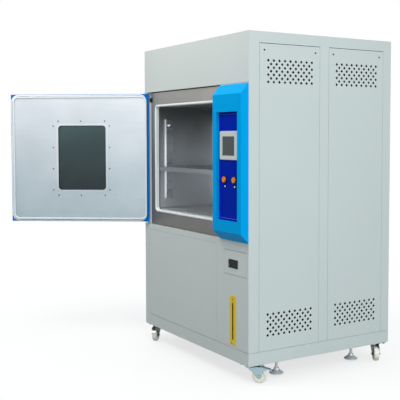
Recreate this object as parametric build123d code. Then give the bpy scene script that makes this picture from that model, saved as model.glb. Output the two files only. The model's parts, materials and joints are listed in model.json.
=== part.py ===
from build123d import *
import math
import os

os.makedirs("parts", exist_ok=True)

# Every size is in millimetres, x runs from the left side, y from the front plane, z from the body underside.
# The front is laid out in zones, and the overall width and height are their sums.
chamber_zone = 874
column_width = 266
cabinet_width = chamber_zone + column_width
lower_zone = 632
band_height = 813
fascia_height = 255
body_height = lower_zone + band_height + fascia_height
cabinet_depth = 965
caster_height = 100
steel = 1.5
stainless = 1.2
flange = 30
running_fit = 0.06
free_gap = 0.3

# Plinth and the narrow dark seam above it
plinth_height = 67
plinth_sheet = 2.5
seam = 2
seam_setback = 5
seam_lap = 8
corner_flange = 110
panel_bottom = plinth_height + seam
seam_top = plinth_height + seam_lap
under_top = body_height - steel

# Front plane: fascia, recessed door band, rail, left post, and the joint line below the fascia
column_left = chamber_zone
band_bottom = lower_zone
fascia_bottom = band_bottom + band_height
band_recess = 17
left_strip_edge = 54
left_post = 56
rail_height = 31
rail_bottom = band_bottom - rail_height
mullion_width = 35
mullion_left = column_left - mullion_width
panel_return = 15
ledge = 18
fascia_joint = 1.5
region_top = fascia_bottom - fascia_joint

# Service panels of the right side between three stiles
front_stile = 65.7
middle_stile = 62
rear_stile = 59.7
panel_width = (cabinet_depth - front_stile - middle_stile - rear_stile) / 2
panel_starts = (front_stile, front_stile + panel_width + middle_stile)
panel_head = 59
panel_top = body_height - panel_head
panel_gap = 1
vent_rows = 7
vent_pitch_y = 35.1
vent_pitch_z = 18.07
vent_half = 8.5
vent_margin = 45
vent_columns = int((panel_width - 2 * vent_margin - 2 * vent_half) / vent_pitch_y) + 1
vent_inset_low = 134
vent_inset_high = 139
vent_centres_z = (panel_bottom + vent_inset_low, panel_top - vent_inset_high)

# Chamber mouth set into the band, liner a little wider and lower, foam round it
mouth_left = 116
mouth_right_margin = 62
mouth_sill = 83
mouth_head = 79
mouth_width = column_left - mouth_right_margin - mouth_left
mouth_height = band_height - mouth_sill - mouth_head
mouth_x = mouth_left + mouth_width / 2
mouth_z = band_bottom + mouth_sill + mouth_height / 2
mouth_radius = 28
gasket_width = 12
gasket_front = 7.5
neck_overlap = 6
liner_front = 40
liner_step_side = 4
liner_step_end = 15.5
liner_width = mouth_width + 2 * liner_step_side
liner_height = mouth_height - 2 * liner_step_end
liner_z = mouth_z
machine_space = 310
liner_back = cabinet_depth - machine_space
foam_wall = 101
foam_back = liner_back + foam_wall
foam_gap = 2
foam_left = seam_setback - 1
foam_right = column_left - foam_gap
foam_top = fascia_bottom - 9
wall_left = mouth_x - liner_width / 2
liner_floor = liner_z - liner_height / 2
liner_ceiling = liner_z + liner_height / 2

# Air duct, fan and heater at the back of the chamber
duct_space = 95
duct_y = liner_back - duct_space
fan_x = mouth_x
fan_rise = 69.5
fan_z = liner_z + fan_rise
shaft_radius = 6
wheel_disc = 96
heater_radius = 130
heater_bar = 5

# Shelf and its pilasters
pilaster_foot = 64.5
pilaster_head = 72.5
pilaster_bottom = liner_floor + pilaster_foot
pilaster_top = liner_ceiling - pilaster_head
pilaster_width = 46
pilaster_rise = 12
pilaster_inset = 44
pilaster_back_inset = 225
pilaster_starts = (liner_front + pilaster_inset, liner_back - pilaster_back_inset)
slot_inset = 49
slot_pitch = 56
slot_first = pilaster_bottom + slot_inset
slot_count = int((pilaster_top - slot_first - slot_inset / 2) / slot_pitch) + 1
shelf_slot = 2
spare_slot = slot_count - 1
clip_height = 9
shelf_side_gap = 8
shelf_duct_gap = 60
shelf_left = wall_left + pilaster_rise + shelf_side_gap
shelf_front = 33
shelf_back = duct_y - shelf_duct_gap
shelf_height = 24.5

# Control column
column_depth = 47
column_front = -column_depth
column_foot_gap = 2
column_head_gap = 4
column_bevel_low = 50
column_bevel_high = 53.4
column_base_bottom = band_bottom - column_foot_gap
column_face_bottom = column_base_bottom + column_bevel_low
column_base_top = fascia_bottom - column_head_gap
column_face_top = column_base_top - column_bevel_high
recess_margin_left = 37
recess_margin_right = 35
recess_margin_low = 58
recess_margin_high = 89.6
recess_depth = 17
recess_left = column_left + recess_margin_left
recess_right = cabinet_width - recess_margin_right
recess_bottom = column_face_bottom + recess_margin_low
recess_top = column_face_top - recess_margin_high
recess_plane = column_front + recess_depth
hmi_gap_left = 13.5
hmi_gap_right = 13.4
hmi_head_gap = 98
hmi_height = 148
hmi_rise = 6
hmi_left = recess_left + hmi_gap_left
hmi_right = recess_right - hmi_gap_right
hmi_top = recess_top - hmi_head_gap
hmi_bottom = hmi_top - hmi_height
hmi_front = recess_plane - hmi_rise
screen_left = hmi_left + 26.1
screen_right = hmi_right - 28.6
screen_bottom = hmi_bottom + 22
screen_top = hmi_top - 27
button_drop = 102
button_inset_left = 58
button_inset_right = 44.5
button_xs = (recess_left + button_inset_left, recess_right - button_inset_right)
button_z = hmi_bottom - button_drop
button_radius = 15
button_travel = 3
lamp_drop = 35
lamp_xs = (recess_left + 62, recess_right - 43)
lamp_z = button_z - lamp_drop

# Drawer, latch, water tank and level gauge
drawer_gap_left = 40
drawer_gap_right = 19
drawer_drop = 53
drawer_height = 125.5
drawer_left = column_left + drawer_gap_left
drawer_right = cabinet_width - drawer_gap_right
drawer_top = band_bottom - drawer_drop
drawer_bottom = drawer_top - drawer_height
drawer_front_depth = 13
tray_inset = 10
tray_height = 74
tray_left = drawer_left + tray_inset
tray_right = drawer_right - tray_inset
tray_bottom = drawer_bottom + 2.5
tray_top = tray_bottom + tray_height
tray_back = 300
runner_gap = 2.5
latch_inset = 42
latch_rise = 34.5
latch_width = 87
latch_height = 44.6
latch_left = drawer_left + latch_inset
latch_right = latch_left + latch_width
latch_bottom = drawer_bottom + latch_rise
latch_top = latch_bottom + latch_height
lock_x = latch_left + 13
lock_z = latch_bottom + 15
tank_wall = 3
tank_front = 60
tank_back = 330
tank_left = column_left + 51
tank_right = cabinet_width - 55
tank_head_gap = 43.5
tank_top = drawer_bottom - tank_head_gap
gauge_inset = 98
gauge_width = 55
gauge_foot = 19
gauge_head = 66
gauge_left = column_left + gauge_inset
gauge_right = gauge_left + gauge_width
gauge_bottom = plinth_height + gauge_foot
gauge_top = tank_top - gauge_head
gauge_x = gauge_left + 24.5

# Door, given closed and then swung to its open rest position
door_gap = 2
door_foot_gap = 11
door_head_gap = 8
door_left = door_gap
door_right = column_left - door_gap
door_bottom = band_bottom + door_foot_gap
door_top = fascia_bottom - door_head_gap
door_rim = 6
door_front = column_front
door_bevel = 47
door_sheet = 1.2
door_lip = 30
door_centre_x = (door_left + door_right) / 2
door_centre_z = (door_bottom + door_top) / 2
seal_inset = 12
seal_width = 11
seal_back = band_recess - 0.5
seal_radius = 35
window_shift_x = -15.25
window_shift_z = 2
window_x = door_centre_x + window_shift_x
window_z = door_centre_z + window_shift_z
window_width = 300
window_height = 402
window_radius = 20
window_wall = 3
pivot_x = 19
pivot_y = -2
pivot_radius = 4
door_rest_angle = 125
handle_inset = 50
handle_x = door_right - handle_inset
handle_z = door_centre_z
bolt_height = 20
bolt_y0, bolt_y1 = -28, -14
bolt_z0, bolt_z1 = handle_z - bolt_height / 2, handle_z + bolt_height / 2

# Casters and feet
swivel_inset = 55
caster_trail = 45
wheel_radius = 38
wheel_width = 27
axle_drop = 62
front_right_angle = 50
front_left_angle = -45
rear_right_angle = -31
rear_left_angle = -60
foot_inset = 65
foot_inset_front = 224
foot_inset_rear = 221
foot_ys = (foot_inset_front, cabinet_depth - foot_inset_rear)
foot_raise = 20
foot_radius = 38

nodes = {}


def block(x0, x1, y0, y1, z0, z1):
    """A block between two opposite corners."""
    middle = Pos((x0 + x1) / 2, (y0 + y1) / 2, (z0 + z1) / 2)
    return middle * Box(x1 - x0, y1 - y0, z1 - z0)


def rod(start, end, radius):
    """A round bar from one point to another."""
    direction = Vector(*end) - Vector(*start)
    return extrude(Plane(origin=start, z_dir=direction) * Circle(radius), amount=direction.length)


def upright(x, y, z0, z1, radius):
    """A round bar standing along z."""
    return rod((x, y, z0), (x, y, z1), radius)


def deep(x, z, y0, y1, radius):
    """A round bar lying along y."""
    return rod((x, y0, z), (x, y1, z), radius)


def from_front(sketch, y0, y1):
    """A sketch drawn in x and z, carried from one depth to another."""
    plane = Plane(origin=(0, y0, 0), x_dir=(1, 0, 0), z_dir=(0, -1, 0))
    return extrude(plane * sketch, amount=y1 - y0, dir=(0, 1, 0))


def from_side(sketch, x0, x1):
    """A sketch drawn in y and z, carried from one x to another."""
    plane = Plane(origin=(x0, 0, 0), x_dir=(0, 1, 0), z_dir=(1, 0, 0))
    return extrude(plane * sketch, amount=x1 - x0, dir=(1, 0, 0))


def from_above(sketch, z0, z1):
    """A sketch drawn in x and y, carried from one height to another."""
    return extrude(Plane.XY.offset(z0) * sketch, amount=z1 - z0, dir=(0, 0, 1))


def outline(*points):
    """A closed outline through the points."""
    return Polygon(*points, align=None)


def shrunk(sketch, amount):
    """The same outline moved inwards with sharp corners kept."""
    return offset(sketch, amount=-amount, kind=Kind.INTERSECTION)


def rounded(centre_x, centre_z, width, height, radius):
    """A rectangle with round corners about a centre."""
    return Pos(centre_x, centre_z) * RectangleRounded(width, height, radius)


def ring(centre_x, centre_z, width, height, radius, wall, y0, y1):
    """A round-cornered ring, wall measured inwards from its outline."""
    outer = rounded(centre_x, centre_z, width, height, radius)
    inner = rounded(centre_x, centre_z, width - 2 * wall, height - 2 * wall, max(radius - wall, 1))
    return from_front(outer - inner, y0, y1)


def holed(outer, holes):
    """A flat face through outer points with a list of hole point lists."""
    edges = [Wire.make_polygon([(x, z, 0) for x, z in hole]) for hole in holes]
    return Face(Wire.make_polygon([(x, z, 0) for x, z in outer]), edges)


def oblong(x0, x1, z0, z1):
    """The four corners of a rectangle."""
    return [(x0, z0), (x1, z0), (x1, z1), (x0, z1)]


# Base: closed plinth box with a machine deck, posts and the rails that carry the chamber
plinth_plan = outline(
    (0, steel), (left_post, steel), (left_post, 0), (cabinet_width, 0),
    (cabinet_width, cabinet_depth), (0, cabinet_depth),
)
base = from_above(plinth_plan, 0, plinth_height)
base -= from_above(shrunk(plinth_plan, plinth_sheet), 3, plinth_height - plinth_sheet)
base -= block(
    corner_flange, cabinet_width - corner_flange, corner_flange, cabinet_depth - corner_flange, -1, 4
)
rib = 4
for x in (cabinet_width / 3, 2 * cabinet_width / 3 - rib):
    base += block(x, x + rib, plinth_sheet, cabinet_depth - plinth_sheet, 20, plinth_height - plinth_sheet)
foot_xs = (foot_inset, cabinet_width - foot_inset)
foot_stem = 8
for x in foot_xs:
    for y in foot_ys:
        base += upright(x, y, 3, 30, 16)
        base -= upright(x, y, -1, 31, foot_stem + running_fit)
rail_left, rail_right, rail_front, rail_back = 35, mullion_left - 4, flange, foam_back - 16
rail_size = 40
for x in (rail_left, rail_right - rail_size):
    for y in (rail_front, rail_back - rail_size):
        base += block(x, x + rail_size, y, y + rail_size, plinth_height, band_bottom)
rails = block(rail_left, rail_right, rail_front, rail_back, band_bottom - 38, band_bottom)
rails -= block(
    rail_left + rail_size, rail_right - rail_size, rail_front + rail_size, rail_back - rail_size,
    band_bottom - 39, band_bottom + 1,
)
nodes["base_frame"] = base + rails

# Left side: one plain folded panel
left_side = block(0, steel, steel, cabinet_depth - steel, panel_bottom, under_top)
left_side += block(steel, flange, cabinet_depth - 2 * steel, cabinet_depth - steel, panel_bottom, under_top)
left_side += block(steel, flange, steel, 2 * steel, panel_bottom, band_bottom - 2)
left_side += block(steel, flange, steel, 2 * steel, fascia_bottom + 2 * steel, under_top)
left_side += block(steel, flange, 2 * steel, cabinet_depth - 2 * steel, under_top - steel, under_top)
left_side -= block(-1, 2 * steel, 0, band_recess + stainless, band_bottom - steel, fascia_bottom)
left_side += block(seam_setback, seam_setback + steel, 10, cabinet_depth - 10, plinth_height, seam_top)
left_side += block(steel, seam_setback + steel, 10, cabinet_depth - 10, seam_top - steel, seam_top)
nodes["left_side_panel"] = left_side

# Top hood: roof sheet and the tall fascia folded back under itself
hood = block(0, cabinet_width, 0, cabinet_depth, under_top, body_height)
hood += block(0, cabinet_width, 0, steel, fascia_bottom, under_top)
front_back = band_recess + stainless
hood += block(steel, cabinet_width - steel, steel, front_back + steel, fascia_bottom, fascia_bottom + steel)
hood += block(
    left_strip_edge, column_left, front_back, front_back + steel,
    foam_top, fascia_bottom + steel,
)
nodes["top_hood"] = hood

# Back panel with rows of cooling slots low down and near the top
slots = []
slot_margin = 110
slot_gap = 70
back_slot = (cabinet_width - 2 * slot_margin - 2 * slot_gap) / 3
slot_step = back_slot + slot_gap
for group_z, rows in ((plinth_height + 43, 14), (body_height - 240, 6)):
    for row in range(rows):
        for column in range(3):
            left = slot_margin + slot_step * column
            low = group_z + 24 * row
            slots.append(oblong(left, left + back_slot, low, low + 8))
back_face = holed(oblong(0, cabinet_width, panel_bottom, under_top), slots)
back = from_front(back_face, cabinet_depth - steel, cabinet_depth)
back += block(
    35, cabinet_width - 35, cabinet_depth - seam_setback - steel, cabinet_depth - seam_setback,
    plinth_height, seam_top,
)
back += block(
    35, cabinet_width - 35, cabinet_depth - seam_setback - steel, cabinet_depth - steel,
    seam_top - steel, seam_top,
)
nodes["back_panel"] = back

# Right side frame: posts and top rail round two service openings, each with a ledge the panel sits on
side_in = cabinet_width - steel
ledge_foot = panel_bottom + 26
ledge_x = cabinet_width - steel - panel_return
openings = [(start - panel_gap, start + panel_width + panel_gap) for start in panel_starts]
side_outline = [(steel, panel_bottom)]
for start, end in openings:
    side_outline += [(start, panel_bottom), (start, panel_top + panel_gap)]
    side_outline += [(end, panel_top + panel_gap), (end, panel_bottom)]
side_outline += [
    (cabinet_depth - steel, panel_bottom), (cabinet_depth - steel, under_top), (steel, under_top)
]
side = from_side(outline(*side_outline), side_in, cabinet_width)
for start, end in openings:
    top = panel_top + panel_gap
    around = block(ledge_x - steel, side_in, start - steel, end + steel, panel_bottom, top + steel)
    around -= block(ledge_x, side_in + 1, start, end, panel_bottom - 1, top)
    around -= block(ledge_x - 2, side_in, start + ledge, end - ledge, ledge_foot, top - ledge)
    side += around
tab = 45
for y in (10, panel_starts[1] - 51.5, cabinet_depth - tab - 10):
    side += block(side_in - seam_setback, side_in - seam_setback + steel, y, y + tab, plinth_height, seam_top)
    side += block(side_in - seam_setback, side_in, y, y + tab, seam_top - steel, seam_top)
side += block(cabinet_width - flange / 2, side_in, steel, 2 * steel, panel_bottom, region_top)
side += block(cabinet_width - flange / 2, side_in, steel, 2 * steel, fascia_bottom + 2 * steel, under_top)
side += block(
    cabinet_width - flange, side_in, cabinet_depth - 2 * steel, cabinet_depth - steel, panel_bottom, under_top
)
side += block(
    cabinet_width - flange, side_in, 2 * steel, cabinet_depth - 2 * steel, under_top - steel, under_top
)
nodes["right_side_frame"] = side


def service_panel(start):
    """One folded service panel with its two fields of diamond vents."""
    end = start + panel_width
    centre = start + panel_width / 2
    diamonds = []
    for field in vent_centres_z:
        for row in range(vent_rows):
            count = vent_columns - row % 2
            z = field + (row - (vent_rows - 1) / 2) * vent_pitch_z
            for column in range(count):
                y = centre + (column - (count - 1) / 2) * vent_pitch_y
                diamonds.append([
                    (y - vent_half, z), (y, z - vent_half), (y + vent_half, z), (y, z + vent_half)
                ])
    face = holed(oblong(start, end, panel_bottom, panel_top), diamonds)
    panel = from_side(face, side_in, cabinet_width)
    fold = block(ledge_x, side_in, start, end, panel_bottom, panel_top)
    fold -= block(
        ledge_x - 1, side_in + 1, start + steel, end - steel, panel_bottom + steel, panel_top - steel
    )
    return panel + fold


nodes["service_panels"] = service_panel(panel_starts[0]) + service_panel(panel_starts[1])

# Front frame: left post, rail, mullion and right region, folded back round the panel and the door band
frame_outline = [
    (0, 0), (left_post, 0), (left_post, rail_bottom), (mullion_left, rail_bottom),
    (mullion_left, panel_bottom), (cabinet_width, panel_bottom), (cabinet_width, region_top),
    (column_left, region_top), (column_left, band_bottom), (0, band_bottom),
]
frame_holes = [
    oblong(drawer_left - 2, drawer_right + 2, drawer_bottom - 2, drawer_top + 2),
    oblong(gauge_x - 8.5, gauge_x + 8.5, gauge_bottom + 23, gauge_top - 35),
    oblong(recess_left - 6, recess_right + 5, recess_bottom + 22, recess_top - 18),
]
frame = from_front(holed(frame_outline, frame_holes), 0, steel)
ledge_y = steel + panel_return
inner_left = left_post - steel
inner_right = mullion_left + steel
collar = block(inner_left, inner_right, steel, ledge_y + steel, panel_bottom, rail_bottom + steel)
collar -= block(left_post, mullion_left, steel - 1, ledge_y, panel_bottom - 1, rail_bottom)
collar -= block(left_post + ledge, mullion_left - ledge, 0, flange, ledge_foot, rail_bottom - ledge)
frame += collar
frame += block(0, column_left + steel, steel, band_recess + stainless, band_bottom - steel, band_bottom)
frame += block(0, left_strip_edge, band_recess, band_recess + stainless, band_bottom, region_top)
frame += block(steel, 2 * steel, band_recess, liner_front, band_bottom, region_top)
frame += block(column_left, column_left + steel, steel, band_recess + stainless, band_bottom, region_top)
frame += block(column_left, cabinet_width - flange, steel, flange / 2, region_top - steel, region_top)
runner_back = tray_back + 20
runner_front = drawer_front_depth + 3
runner_foot = tray_inset + runner_gap
for web, foot in ((tray_left - runner_gap, 1), (tray_right + runner_gap, -1)):
    x0, x1 = sorted((web, web - foot * steel))
    foot0, foot1 = sorted((web, web + foot * runner_foot))
    frame += block(x0, x1, steel, runner_back, drawer_bottom - 13.5, drawer_bottom - 2.5)
    frame += block(x0, x1, runner_front, runner_back, drawer_bottom - 2.5, drawer_bottom + 26.5)
    runner_top = tray_bottom - free_gap
    frame += block(foot0, foot1, runner_front, runner_back, runner_top - 2, runner_top)
seam_left, seam_right = mullion_left + 21, cabinet_width - flange
frame += block(seam_left, seam_right, seam_setback, seam_setback + steel, plinth_height, seam_top)
frame += block(seam_left, seam_right, steel, seam_setback + steel, seam_top - steel, seam_top)
nodes["front_frame"] = frame

# Lower front panel, a folded pan resting on the ledges of the front frame
pan_left, pan_right = left_post + 1, mullion_left - 1
pan_bottom, pan_top = panel_bottom + 2, rail_bottom - 1
pan = block(pan_left, pan_right, 0, ledge_y, pan_bottom, pan_top)
pan -= block(
    pan_left + steel, pan_right - steel, steel, ledge_y + 1, pan_bottom + steel, pan_top - steel
)
nodes["lower_front_panel"] = pan

# Stainless front with the neck that leads into the chamber
neck_width = mouth_width - 2 * neck_overlap
neck_height = mouth_height - 2 * neck_overlap
neck_radius = mouth_radius - neck_overlap
neck = rounded(mouth_x, mouth_z, neck_width, neck_height, neck_radius)
neck_out = rounded(
    mouth_x, mouth_z, neck_width + 2 * stainless, neck_height + 2 * stainless, neck_radius + stainless
)
flange_width = liner_width + 24
flange_height = neck_height + 24
flange_out = rounded(mouth_x, mouth_z, flange_width, flange_height, neck_radius)
front_top = fascia_bottom - 5.5
front_sheet = Pos((left_strip_edge + column_left) / 2, (band_bottom + front_top) / 2) * Rectangle(
    column_left - left_strip_edge, front_top - band_bottom
)
front = from_front(front_sheet - neck, band_recess, front_back)
front += from_front(neck_out - neck, front_back, liner_front)
front += from_front(flange_out - neck, liner_front - stainless, liner_front)
nodes["stainless_front_frame"] = front

# Liner, a deep stainless box with a front flange
liner_in = rounded(mouth_x, liner_z, liner_width, liner_height, 12)
liner_out = rounded(
    mouth_x, liner_z, liner_width + 2 * stainless, liner_height + 2 * stainless, 12 + stainless
)
liner = from_front(flange_out - liner_in, liner_front, liner_front + stainless)
liner += from_front(liner_out - liner_in, liner_front + stainless, liner_back)
liner += from_front(liner_out, liner_back, liner_back + stainless)
liner -= deep(fan_x, fan_z, liner_back - 1, liner_back + 3, shaft_radius + 2)
nodes["chamber_liner"] = liner

# Foam that wraps the liner on five sides
nose_radius = 18
foam = block(foam_left, foam_right, front_back, foam_back, band_bottom, foam_top)
foam -= from_front(neck_out, front_back - 1, liner_front - stainless)
foam -= from_front(flange_out, liner_front - stainless, liner_front + stainless)
foam -= from_front(liner_out, liner_front + stainless, liner_back + stainless)
foam -= deep(fan_x, fan_z, liner_back, foam_back + 1, nose_radius)
nodes["insulation_jacket"] = foam

# Seal round the mouth, a round-fronted strip that hooks over the neck edge
seal_outer = rounded(mouth_x, mouth_z, mouth_width, mouth_height, mouth_radius)
seal_inner = rounded(
    mouth_x, mouth_z, mouth_width - 2 * gasket_width, mouth_height - 2 * gasket_width,
    mouth_radius - gasket_width,
)
seal = from_front(seal_outer - seal_inner, gasket_front, band_recess)
seal = fillet(seal.edges().group_by(Axis.Y)[0], 4)
seal += from_front(neck - seal_inner, band_recess, band_recess + 13)
nodes["chamber_gasket"] = seal

# Pilasters, slotted channels on both side walls
slot_zs = [slot_first + slot_pitch * index for index in range(slot_count)]


def mirrored(shape):
    """The same piece on the opposite chamber wall."""
    return mirror(shape, about=Plane(origin=(mouth_x, 0, 0), z_dir=(1, 0, 0)))


def pilaster(start):
    """A channel with its open side on the left wall."""
    end = start + pilaster_width
    body = block(wall_left, wall_left + pilaster_rise, start, end, pilaster_bottom, pilaster_top)
    body -= block(
        wall_left - 1, wall_left + pilaster_rise - 1.5, start + 1.5, end - 1.5,
        pilaster_bottom - 1, pilaster_top + 1,
    )
    middle = (start + end) / 2
    for z in slot_zs:
        body -= block(wall_left, wall_left + 20, middle - 9, middle + 9, z - 3, z + 3)
    return body


left_pilasters = pilaster(pilaster_starts[0]) + pilaster(pilaster_starts[1])
nodes["shelf_pilasters"] = left_pilasters + mirrored(left_pilasters)


def clip(start, slot):
    """A wedge bracket whose tongue sits in one slot of a left pilaster."""
    middle = start + pilaster_width / 2
    z = slot_zs[slot]
    face = wall_left + pilaster_rise
    rest = z + clip_height
    side_view = outline((face, z - 5), (face + 17, rest - 4), (face + 17, rest), (face, rest))
    wedge = from_front(side_view, middle - 7, middle + 7)
    return wedge + block(face - 8, face, middle - 7, middle + 7, z - 3, z + 2)


left_clips = clip(pilaster_starts[0], shelf_slot) + clip(pilaster_starts[1], shelf_slot)
left_clips += clip(pilaster_starts[0], spare_slot) + clip(pilaster_starts[1], spare_slot)
nodes["shelf_clips"] = left_clips + mirrored(left_clips)

# Shelf: slotted tray folded down on all four sides
shelf_right = 2 * mouth_x - shelf_left
shelf_bottom = slot_zs[shelf_slot] + clip_height
shelf_top = shelf_bottom + shelf_height
shelf_slots = []
shelf_rows = int((shelf_back - shelf_front - 70) / 58) + 1
shelf_slot_step = (shelf_right - shelf_left - 56) / 4
for row in range(shelf_rows):
    low = shelf_front + 42 + 58 * row
    for column in range(4):
        left = shelf_left + 34 + shelf_slot_step * column
        shelf_slots.append(oblong(left, left + shelf_slot_step - 12, low, low + 14))
shelf_face = holed(oblong(shelf_left, shelf_right, shelf_front, shelf_back), shelf_slots)
shelf = from_above(shelf_face, shelf_top - stainless, shelf_top)
skirt = block(shelf_left, shelf_right, shelf_front, shelf_back, shelf_bottom, shelf_top - stainless)
skirt -= block(
    shelf_left + stainless, shelf_right - stainless, shelf_front + stainless, shelf_back - stainless,
    shelf_bottom + stainless, shelf_top,
)
skirt -= block(
    shelf_left + 14, shelf_right - 14, shelf_front + 14, shelf_back - 14, shelf_bottom - 1, shelf_top
)
nodes["shelf"] = shelf + skirt

# Duct panel in front of the fan, slotted for intake and outlets
duct_holes = []
for row in range(9):
    low = fan_z - 92 + 21 * row
    duct_holes.append(oblong(fan_x - 85, fan_x + 85, low, low + 9))
outlet_half = liner_width / 2 - 62
for low in (liner_ceiling - 60.5, liner_ceiling - 38.5, liner_floor + 34.5, liner_floor + 56.5):
    duct_holes.append(oblong(fan_x - outlet_half, fan_x + outlet_half, low, low + 11))
duct = from_front(liner_in, duct_y, duct_y + stainless)
for hole in duct_holes:
    duct -= block(hole[0][0], hole[1][0], duct_y - 1, duct_y + 3, hole[0][1], hole[2][1])
duct += ring(mouth_x, liner_z, liner_width, liner_height, 12, stainless, duct_y + stainless, duct_y + 20)
nodes["air_duct_panel"] = duct

# Heater ring round the fan wheel with two leads into the back wall
heater_y = liner_back - 43
heater = Pos(fan_x, heater_y, fan_z) * Rot(90, 0, 0) * Torus(heater_radius, heater_bar)
for x in (fan_x - heater_radius, fan_x + heater_radius):
    heater += deep(x, fan_z, heater_y, liner_back, heater_bar)
nodes["heater_coil"] = heater

# Evaporator: finned tubes between two end plates on the liner floor
evaporator_top = fan_z - heater_radius - heater_bar - 44.5
evaporator_y0, evaporator_y1 = liner_back - 67, liner_back - 8
evaporator_y = liner_back - 38
plate_left, plate_right = wall_left + 58, wall_left + liner_width - 58
evaporator = block(plate_left, plate_left + 2, evaporator_y0, evaporator_y1, liner_floor, evaporator_top)
evaporator += block(plate_right - 2, plate_right, evaporator_y0, evaporator_y1, liner_floor, evaporator_top)
fin_pitch = 31
fin_count = int((plate_right - plate_left - 33) / fin_pitch) + 1
for index in range(fin_count):
    x = plate_left + 30 + fin_pitch * index
    evaporator += block(
        x, x + 1, evaporator_y0 + 4, evaporator_y1 - 4, liner_floor + 20, evaporator_top - 8
    )
tube_pitch = 34
tube_count = int((evaporator_top - liner_floor - 60) / tube_pitch) + 1
for index in range(tube_count):
    z = liner_floor + 36 + tube_pitch * index
    evaporator += rod((plate_left - 7, evaporator_y, z), (plate_right + 7, evaporator_y, z), 5)
header_top = liner_floor + 36 + tube_pitch * (tube_count - 1) + 8
for x in (plate_left - 7, plate_right + 7):
    evaporator += upright(x, evaporator_y, liner_floor + 28, header_top, 6)
nodes["evaporator_coil"] = evaporator

# Circulation fan wheel with its shaft, and the motor behind the foam
wheel_y0, wheel_y1 = liner_back - 65, liner_back - 21
shaft_back = foam_back + 24
wheel = deep(fan_x, fan_z, wheel_y0, wheel_y0 + 2, wheel_disc)
wheel -= deep(fan_x, fan_z, wheel_y0 - 1, wheel_y0 + 3, wheel_disc - 22)
wheel += deep(fan_x, fan_z, wheel_y1 - 2, wheel_y1, wheel_disc)
wheel += deep(fan_x, fan_z, wheel_y1 - 22, wheel_y1, 18)
for index in range(12):
    blade = Pos(wheel_disc - 20, wheel_y1 - 23, 0) * Rot(0, 25, 0) * Box(36, 42, 2)
    wheel += Pos(fan_x, 0, fan_z) * Rot(0, 30 * index, 0) * blade
wheel += deep(fan_x, fan_z, wheel_y1, shaft_back, shaft_radius)
nodes["fan_impeller"] = wheel

motor_back = foam_back + 112
motor = deep(fan_x, fan_z, liner_back + stainless, foam_back, nose_radius)
motor += block(fan_x - 66, fan_x + 66, foam_back, foam_back + 5, fan_z - 66, fan_z + 66)
motor += chamfer(deep(fan_x, fan_z, foam_back + 5, motor_back, 60).edges().group_by(Axis.Y)[-1], 10)
motor += block(fan_x - 28, fan_x + 28, foam_back + 29, foam_back + 84, fan_z + 50, fan_z + 84)
motor -= deep(fan_x, fan_z, liner_back, shaft_back + 5, shaft_radius + running_fit)
nodes["fan_motor"] = motor

# Compressor with its domed can on four feet
comp_x, comp_y = 610, cabinet_depth - 445
can = upright(comp_x, comp_y, plinth_height + 27, 330, 96)
can = fillet(can.edges().group_by(Axis.Z)[-1], 50)
compressor = can + block(
    comp_x - 110, comp_x + 110, comp_y - 110, comp_y + 110, plinth_height + 23, plinth_height + 27
)
for dx in (-92, 92):
    for dy in (-92, 92):
        compressor += upright(comp_x + dx, comp_y + dy, plinth_height, plinth_height + 40, 12)
compressor += upright(comp_x - 50, comp_y, 300, 420, 8)
compressor += rod((comp_x, comp_y - 80, 200), (comp_x, comp_y - 150, 200), 6)
compressor += block(comp_x + 88, comp_x + 124, comp_y - 35, comp_y + 35, 170, 250)
nodes["compressor"] = compressor

# Condenser: finned coil with a fan shroud and a motor on a cross bar
cond_x, cond_z = 290, 270
cond_half = 195
cond_top = 450
cond_front, cond_back = cabinet_depth - 103, cabinet_depth - 15
cond_left, cond_right = cond_x - cond_half, cond_x + cond_half
shroud_radius = 135
condenser = block(cond_left, cond_left + 3, cond_front, cond_back, plinth_height, cond_top)
condenser += block(cond_right - 3, cond_right, cond_front, cond_back, plinth_height, cond_top)
for index in range(18):
    x = cond_left + 19 + 20.5 * index
    condenser += block(x, x + 1.2, cond_back - 42, cond_back - 2, plinth_height + 28, cond_top - 10)
for index in range(6):
    z = plinth_height + 53 + 58 * index
    condenser += rod((cond_left, cond_back - 22, z), (cond_right, cond_back - 22, z), 5)
shroud = block(cond_left + 3, cond_right - 3, cond_front + 36, cond_front + 38, plinth_height + 18, cond_top)
shroud -= deep(cond_x, cond_z, cond_front + 28, cond_front + 43, shroud_radius - 3)
shroud += deep(cond_x, cond_z, cond_front + 8, cond_front + 38, shroud_radius) - deep(
    cond_x, cond_z, cond_front - 2, cond_front + 43, shroud_radius - 3
)
condenser += shroud
condenser += block(cond_left + 3, cond_right - 3, cond_front, cond_front + 3, cond_z - 14, cond_z + 14)
condenser += deep(cond_x, cond_z, cond_front - 17, cond_front + 4, 34)
condenser += deep(cond_x, cond_z, cond_front + 4, cond_front + 26, 5)
nodes["condenser_coil"] = condenser

axial = deep(cond_x, cond_z, cond_front + 6, cond_front + 30, 30)
for index in range(5):
    blade = Pos(75, cond_front + 18, 0) * Rot(28, 0, 0) * Box(100, 3, 44)
    axial += Pos(cond_x, 0, cond_z) * Rot(0, 72 * index, 0) * blade
axial -= deep(cond_x, cond_z, cond_front - 2, cond_front + 27, 5 + running_fit)
nodes["condenser_fan"] = axial

# Water tank behind the gauge, hollow, with a filler neck
tank_block = block(tank_left, tank_right, tank_front, tank_back, plinth_height, tank_top)
tank = fillet(tank_block.edges().filter_by(Axis.Z), 15)
tank_room = block(
    tank_left + tank_wall, tank_right - tank_wall, tank_front + tank_wall, tank_back - tank_wall,
    plinth_height + tank_wall, tank_top - tank_wall,
)
tank = tank - fillet(tank_room.edges().filter_by(Axis.Z), 12)
filler_x, filler_y = (tank_left + tank_right) / 2, tank_back - 80
tank += upright(filler_x, filler_y, tank_top, tank_top + 16, 26)
tank -= upright(filler_x, filler_y, tank_top - 10, tank_top + 17, 22)
nodes["water_tank"] = tank

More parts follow.
